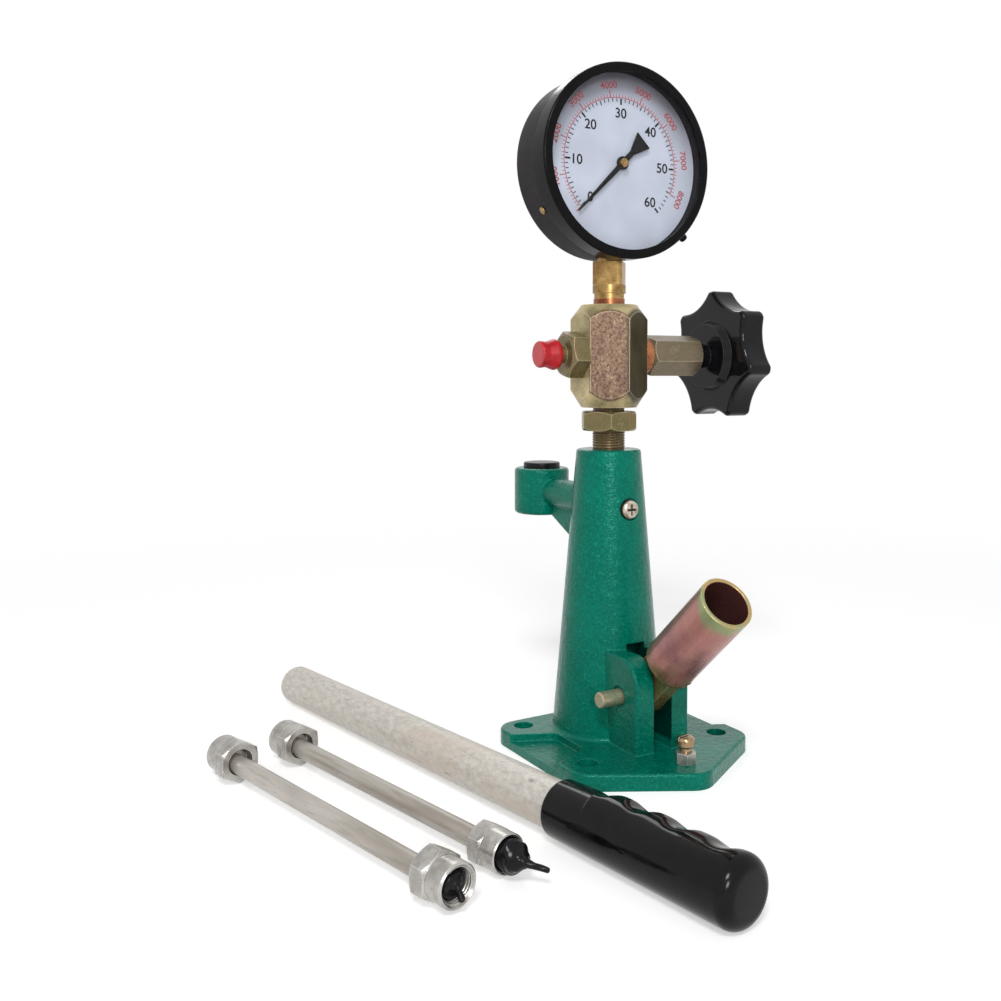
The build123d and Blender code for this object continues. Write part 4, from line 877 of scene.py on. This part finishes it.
# Weld beads between the tongue and the socket

print("weld")
weld = {"major": 0.01265, "minor": 0.00165, "at": 0.031, "halfAngle": 43.0, "ripples": 7.5, "lump": 0.13}
weldTints = [(60, 52, 34), (104, 92, 58), (84, 76, 50), (150, 132, 84)]
weldLook = makeZinc("weldZinc", weldTints, (214, 196, 148), (44, 32, 20), grain=260, specks=0.6,
                    marks=0.6, roughness=0.4)


# Each bead is a tube round an arc. Its radius swells and sinks with the ripples of the weld and a few slower
# waves, and it closes at both ends.
def makeWeld():
    steps, corners = 90, 22
    share = np.linspace(-1, 1, steps)[:, None]
    phi = roundAngles(corners)
    half = math.radians(weld["halfAngle"])
    taper = np.sqrt(np.clip(1 - np.abs(share) ** 6, 0, 1))
    grids, faceSets = [], []
    for number, middle in enumerate((math.pi / 2, -math.pi / 2)):
        angle = middle + half * share
        ripple = np.sin(weld["ripples"] * np.pi * share + 1.3 * np.cos(phi) + number)
        slow = 0.5 * np.sin(3.1 * np.pi * share + 2 * phi + 2.2 * number)
        slow = slow + 0.3 * np.sin(5.3 * share - 3 * phi)
        radius = weld["minor"] * taper * (1 + weld["lump"] * (0.55 * ripple + 0.6 * slow))
        out = weld["major"] + radius * np.cos(phi)
        grids.append(polar(out, angle, weld["at"] + radius * np.sin(phi)).reshape(-1, 3))
        faceSets.append(gridFaces(steps, corners) + number * steps * corners)
    y = (0, math.sin(leverRise), math.cos(leverRise))
    points = placed(np.vstack(grids), leverPivot, (1, 0, 0), y, leverAxis)
    bead = makePiece("weldBeads", points, np.vstack(faceSets), "lever", weldLook)
    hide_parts("lever_weld")


makeWeld()


# Moulded grip

print("grip")
grip = {
    "farEnd": (-0.1287, 0.1581), "restAt": 0.004, "radius": 0.01095, "from": 0.2544, "to": 0.360,
    "thin": 0.0129, "thick": 0.0145, "thickAt": 0.34944, "endRound": 0.006, "lipRound": 0.0012,
    "bore": 0.0110, "boreEnd": 0.3571, "barAside": 0.0026, "towards": math.radians(155),
    "barRadii": (0.0127, 0.0114), "barFade": 0.003, "barDrop": 0.006, "joinSharpness": 5000, "joinDrop": 0.3,
    "fingers": 4, "fingerFrom": 0.2788, "fingerTo": 0.354, "grooveStep": 0.0217, "grooveFloor": 0.0124,
    "grooveRadius": 0.011, "grooveSharpness": 1500,
}


# how far a round edge falls back at a distance from its crest
def fallBack(radius, distance):
    return radius - np.sqrt(np.maximum(radius ** 2 - distance ** 2, 0))


# The outside is the larger of two rounds, smoothly joined: a slim cone on the axis and a bar beside it. One
# arc for each finger hollows them on that side. The ends roll in to a lip and to a dome, and a plain bore
# takes the tube. The whole leans up a little, because the tube's other end rests on the floor.
def makeGrip():
    rise = math.atan2(grip["thick"] - grip["radius"], grip["thickAt"] - grip["restAt"])
    height = grip["radius"] * math.cos(rise) - grip["restAt"] * math.sin(rise)
    flat = np.array([math.cos(handleHeading), math.sin(handleHeading), 0])
    axis = flat * math.cos(rise) + np.array([0, 0, math.sin(rise)])
    down = flat * math.sin(rise) - np.array([0, 0, math.cos(rise)])
    side = np.array([-math.sin(handleHeading), math.cos(handleHeading), 0])
    around = 72
    phi = roundAngles(around)
    start, end, dome, lip = grip["from"], grip["to"], grip["endRound"], grip["lipRound"]
    # rows: one just past the lip, then evenly along the body, and closer together round the dome
    even = np.linspace(start + 0.0004, end - dome - 0.0002, 260)
    domed = end - dome * (1 - np.sin(np.linspace(0.02, np.pi / 2 - 0.02, 18)))
    u = np.concatenate([[start + 0.0001], even, domed])[:, None]
    cone = grip["thin"] + (grip["thick"] - grip["thin"]) * (u - start) / (grip["thickAt"] - start)
    cone = np.minimum(cone, grip["thick"])
    domeRoll = fallBack(dome, np.clip(u - (end - dome), 0, dome))
    lipRoll = fallBack(lip, np.clip(lip - (u - start), 0, lip))
    fingerFrom, fingerTo = grip["fingerFrom"], grip["fingerTo"]
    share = np.clip((u - fingerFrom) / (fingerTo - fingerFrom), 0, 1)
    barRadius = grip["barRadii"][0] + (grip["barRadii"][1] - grip["barRadii"][0]) * share
    turned = phi - grip["towards"]
    aside = grip["barAside"]
    bar = aside * np.cos(turned) + np.sqrt(barRadius ** 2 - (aside * np.sin(turned)) ** 2)
    beyond = np.clip(np.maximum(fingerFrom - u, u - fingerTo) / grip["barFade"], 0, 1)
    bar = bar - grip["barDrop"] * beyond ** 2
    sharp = grip["joinSharpness"]
    outer = (np.logaddexp(cone * sharp, bar * sharp) - math.log(2) * grip["joinDrop"]) / sharp
    lean = np.maximum(np.cos(turned), 0.02)
    sharp = grip["grooveSharpness"]
    for number in range(grip["fingers"]):
        gap = np.abs(u - fingerFrom - grip["grooveStep"] * number)
        arc = grip["grooveFloor"] + fallBack(grip["grooveRadius"], gap)
        arc = np.where(gap < grip["grooveRadius"], arc, 1.0) / lean  # a metre out where no groove is
        outer = -np.logaddexp(-outer * sharp, -arc * sharp) / sharp
    outer = outer - domeRoll - lipRoll
    inside = np.array([[0.0], [grip["bore"]], [grip["bore"]]]) * np.ones_like(phi)
    radius = np.vstack([inside, outer, np.zeros_like(phi)])
    along = np.vstack([[[grip["boreEnd"]]], [[grip["boreEnd"]]], [[start]], u, [[end]]])
    points = placed(polar(radius, phi, along), (*grip["farEnd"], height), down, side, axis)
    piece = makePiece("mouldedGrip", points, gridFaces(len(radius), around), "stand", gripDark)
    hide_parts("handle_grip")


makeGrip()


# Union nuts: threads in their mouths, and the rubber plugs

print("nuts and plugs")
pipes = {
    "front": {"start": (-0.1605, -0.1092), "heading": math.radians(102.2), "length": 0.1551, "flats": 0.0190},
    "rear": {"start": (-0.1298, -0.0959), "heading": math.radians(101.8), "length": 0.1475, "flats": 0.0168},
}
farFlats = 0.0190  # across the flats of the nuts at the far ends


# the line of a nut: where its back face is on the pipe's line, and its directions down, aside and out of its
# mouth
def nutLine(pipe, far):
    line = pipes[pipe]
    height = (farFlats if far else line["flats"]) / 2 / math.cos(math.radians(30))
    ahead = np.array([math.cos(line["heading"]), math.sin(line["heading"]), 0])
    back = np.array([*line["start"], height]) + ahead * (line["length"] if far else 0)
    axis = ahead if far else -ahead
    return back, (0, 0, -1), (-axis[1], axis[0], 0), axis


for pipe, far in (("front", False), ("front", True), ("rear", True)):
    side = "far" if far else "near"
    makeThread(f"{pipe}{side.title()}Thread", *nutLine(pipe, far), **mouthThread, body=f"{pipe}_{side}_nut",
               slot="pale_zinc", look=paleZinc, inward=True)

# each profile gives distances from the nut's back face and radii, in millimetres
plugs = {
    "front": {
        "profile": [(13.1, 0.0), (13.15, 4.6), (13.8, 5.9), (15.4, 6.1), (16.6, 5.0), (17.6, 2.8),
                    (18.6, 1.7), (20.4, 1.25), (22.0, 1.35), (23.2, 1.2), (23.8, 0.8), (24.0, 0.0)],
        "bendFrom": 0.0158, "droop": 55.0, "aside": 0.0, "lump": 0.07,
    },
    "rear": {
        "profile": [(13.4, 0.0), (13.45, 6.0), (14.0, 6.75), (17.4, 6.85), (19.4, 6.9), (22.0, 6.2),
                    (24.6, 4.7), (26.8, 2.7), (28.4, 1.75), (31.0, 1.3), (34.4, 1.4), (36.6, 1.25),
                    (37.3, 0.8), (37.5, 0.0)],
        "bendFrom": 0.0250, "droop": 10.0, "aside": 30.0, "lump": 0.06,
    },
}
lumps = {"from": 0.0155, "over": 0.003, "least": 0.15, "waves": (700, 1100)}
plugBend = 0.004


# A round profile is carried along a line that bends down after a straight run. Two waves round and along it
# leave lumps.
def makePlug(pipe, body, replaced):
    shape = plugs[pipe]
    knots = np.array(shape["profile"]) / 1000
    steps, corners = 120, 40
    share = np.linspace(0, len(knots) - 1, steps)
    before = np.minimum(share.astype(int), len(knots) - 2)
    part = share - before
    smooth = part * part * (3 - 2 * part) * 0.5 + part * 0.5
    reach = (knots[before, 0] + (knots[before + 1, 0] - knots[before, 0]) * part)[:, None]
    radius = (knots[before, 1] + (knots[before + 1, 1] - knots[before, 1]) * smooth)[:, None]
    phi = roundAngles(corners)
    outside = np.clip((reach - lumps["from"]) / lumps["over"], lumps["least"], 1)
    slow, fast = lumps["waves"]
    waves = np.sin(2 * phi + reach * slow) + 0.7 * np.sin(3 * phi - reach * fast)
    radius = radius * (1 + shape["lump"] * outside * waves)
    eased = np.clip((reach - shape["bendFrom"]) / plugBend, 0, 1)
    bend = math.radians(shape["droop"]) * eased
    swing = math.radians(shape["aside"]) * eased
    step = np.diff(reach, axis=0, prepend=reach[:1])
    down = np.cumsum(step * np.sin(bend), axis=0)
    aside = np.cumsum(step * np.sin(swing), axis=0)
    out = reach[:1] + np.cumsum(step * np.cos(bend) * np.cos(swing), axis=0)
    below, beside = radius * np.cos(phi), radius * np.sin(phi)
    points = np.stack([down + below * np.cos(bend), aside + beside * np.cos(swing),
                       out - below * np.sin(bend) - beside * np.sin(swing)], axis=-1)
    points, faces = placed(points, *nutLine(pipe, False)), gridFaces(steps, corners)
    piece = makePiece(f"{pipe}RubberPlug", points, faces, body, blackRubber)
    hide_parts(replaced)


makePlug("front", "front_nut_plug", "front_plug")
makePlug("rear", "rear_nut_plug", "rear_plug")


# Floor, world and lamps

studio = {
    "floor": (231.115, 231.115, 231.115),
    "floorHalf": 6.0,
    "whiteFrom": 0.32,
    "whiteTo": 0.95,
    "floorLift": 0.43,
    "sky": 0.33,
    "key": {"place": (-0.75, -0.95, 1.25), "aim": (0.0, 0.0, 0.15), "size": (0.35, 0.35), "power": 11.5},
    "fill": {"place": (-0.62, -1.25, 0.55), "aim": (0.0, 0.0, 0.2), "size": (0.28, 0.28), "power": 6.5},
    "back": {"place": (0.5, 1.2, 1.3), "aim": (0.0, 0.0, 0.2), "size": (0.5, 0.5), "power": 4.0},
}


# 1 for what is seen itself, in a mirror surface or through glass, otherwise 0
def seenStraight(tree):
    rays = addNode(tree, "ShaderNodeLightPath").outputs
    inputs = {0: rays["Is Camera Ray"], 1: rays["Is Glossy Ray"]}
    either = addNode(tree, "ShaderNodeMath", inputs, operation="MAXIMUM").outputs[0]
    inputs = {0: either, 1: rays["Is Transmission Ray"]}
    return addNode(tree, "ShaderNodeMath", inputs, operation="MAXIMUM").outputs[0]


def makeWorld():
    world = bpy.data.worlds.new("studioWorld")
    world.use_nodes = True
    tree = world.node_tree
    tree.nodes.clear()
    sky = addNode(tree, "ShaderNodeBackground", {0: (1, 1, 1, 1), 1: studio["sky"]}).outputs[0]
    white = addNode(tree, "ShaderNodeBackground", {0: (1, 1, 1, 1), 1: 1.0}).outputs[0]
    shown = addNode(tree, "ShaderNodeMixShader", {0: seenStraight(tree), 1: sky, 2: white}).outputs[0]
    addNode(tree, "ShaderNodeOutputWorld", {0: shown})
    scene.world = world


# The floor keeps the shadows near the object and turns to plain white further out, like the background.
def makeFloor():
    half = studio["floorHalf"]
    mesh = bpy.data.meshes.new("paleFloor")
    corners = [(-half, -half, 0), (half, -half, 0), (half, half, 0), (-half, half, 0)]
    mesh.from_pydata(corners, [], [(0, 1, 2, 3)])
    floor = bpy.data.objects.new("paleFloor", mesh)
    scene.collection.objects.link(floor)
    look = Look("paleFloor", studio["floor"], roughness=0.9)
    seen = seenStraight(look.tree)
    look.put("Emission Color", (1, 1, 1, 1))
    look.put("Emission Strength", look.times(seen, studio["floorLift"]))
    away = look.around(axisFoot, upwards)
    inputs = {"Value": away, "From Min": studio["whiteFrom"], "From Max": studio["whiteTo"]}
    far = look.node("ShaderNodeMapRange", inputs, interpolation_type="SMOOTHSTEP").outputs[0]
    white = look.node("ShaderNodeEmission", {"Color": (1, 1, 1, 1), "Strength": 1.0})
    inputs = {0: look.times(far, seen), 1: look.shader.outputs[0], 2: white.outputs[0]}
    look.tree.links.new(look.node("ShaderNodeMixShader", inputs).outputs[0], look.out.inputs[0])
    mesh.materials.append(look.material)


def makeLamp(name, place, aim, size, power):
    data = bpy.data.lights.new(name, "AREA")
    data.shape = "RECTANGLE"
    data.size, data.size_y = size
    data.energy = power
    lamp = bpy.data.objects.new(name, data)
    away = (Vector(place) - Vector(aim)).normalized()
    lamp.matrix_world = Matrix.Translation(place) @ away.to_track_quat("Z", "Y").to_matrix().to_4x4()
    scene.collection.objects.link(lamp)


scene.view_settings.view_transform = "Standard"
makeWorld()
makeFloor()
for lampName in ("key", "fill", "back"):
    makeLamp(lampName + "Lamp", **studio[lampName])
print("studio ready")
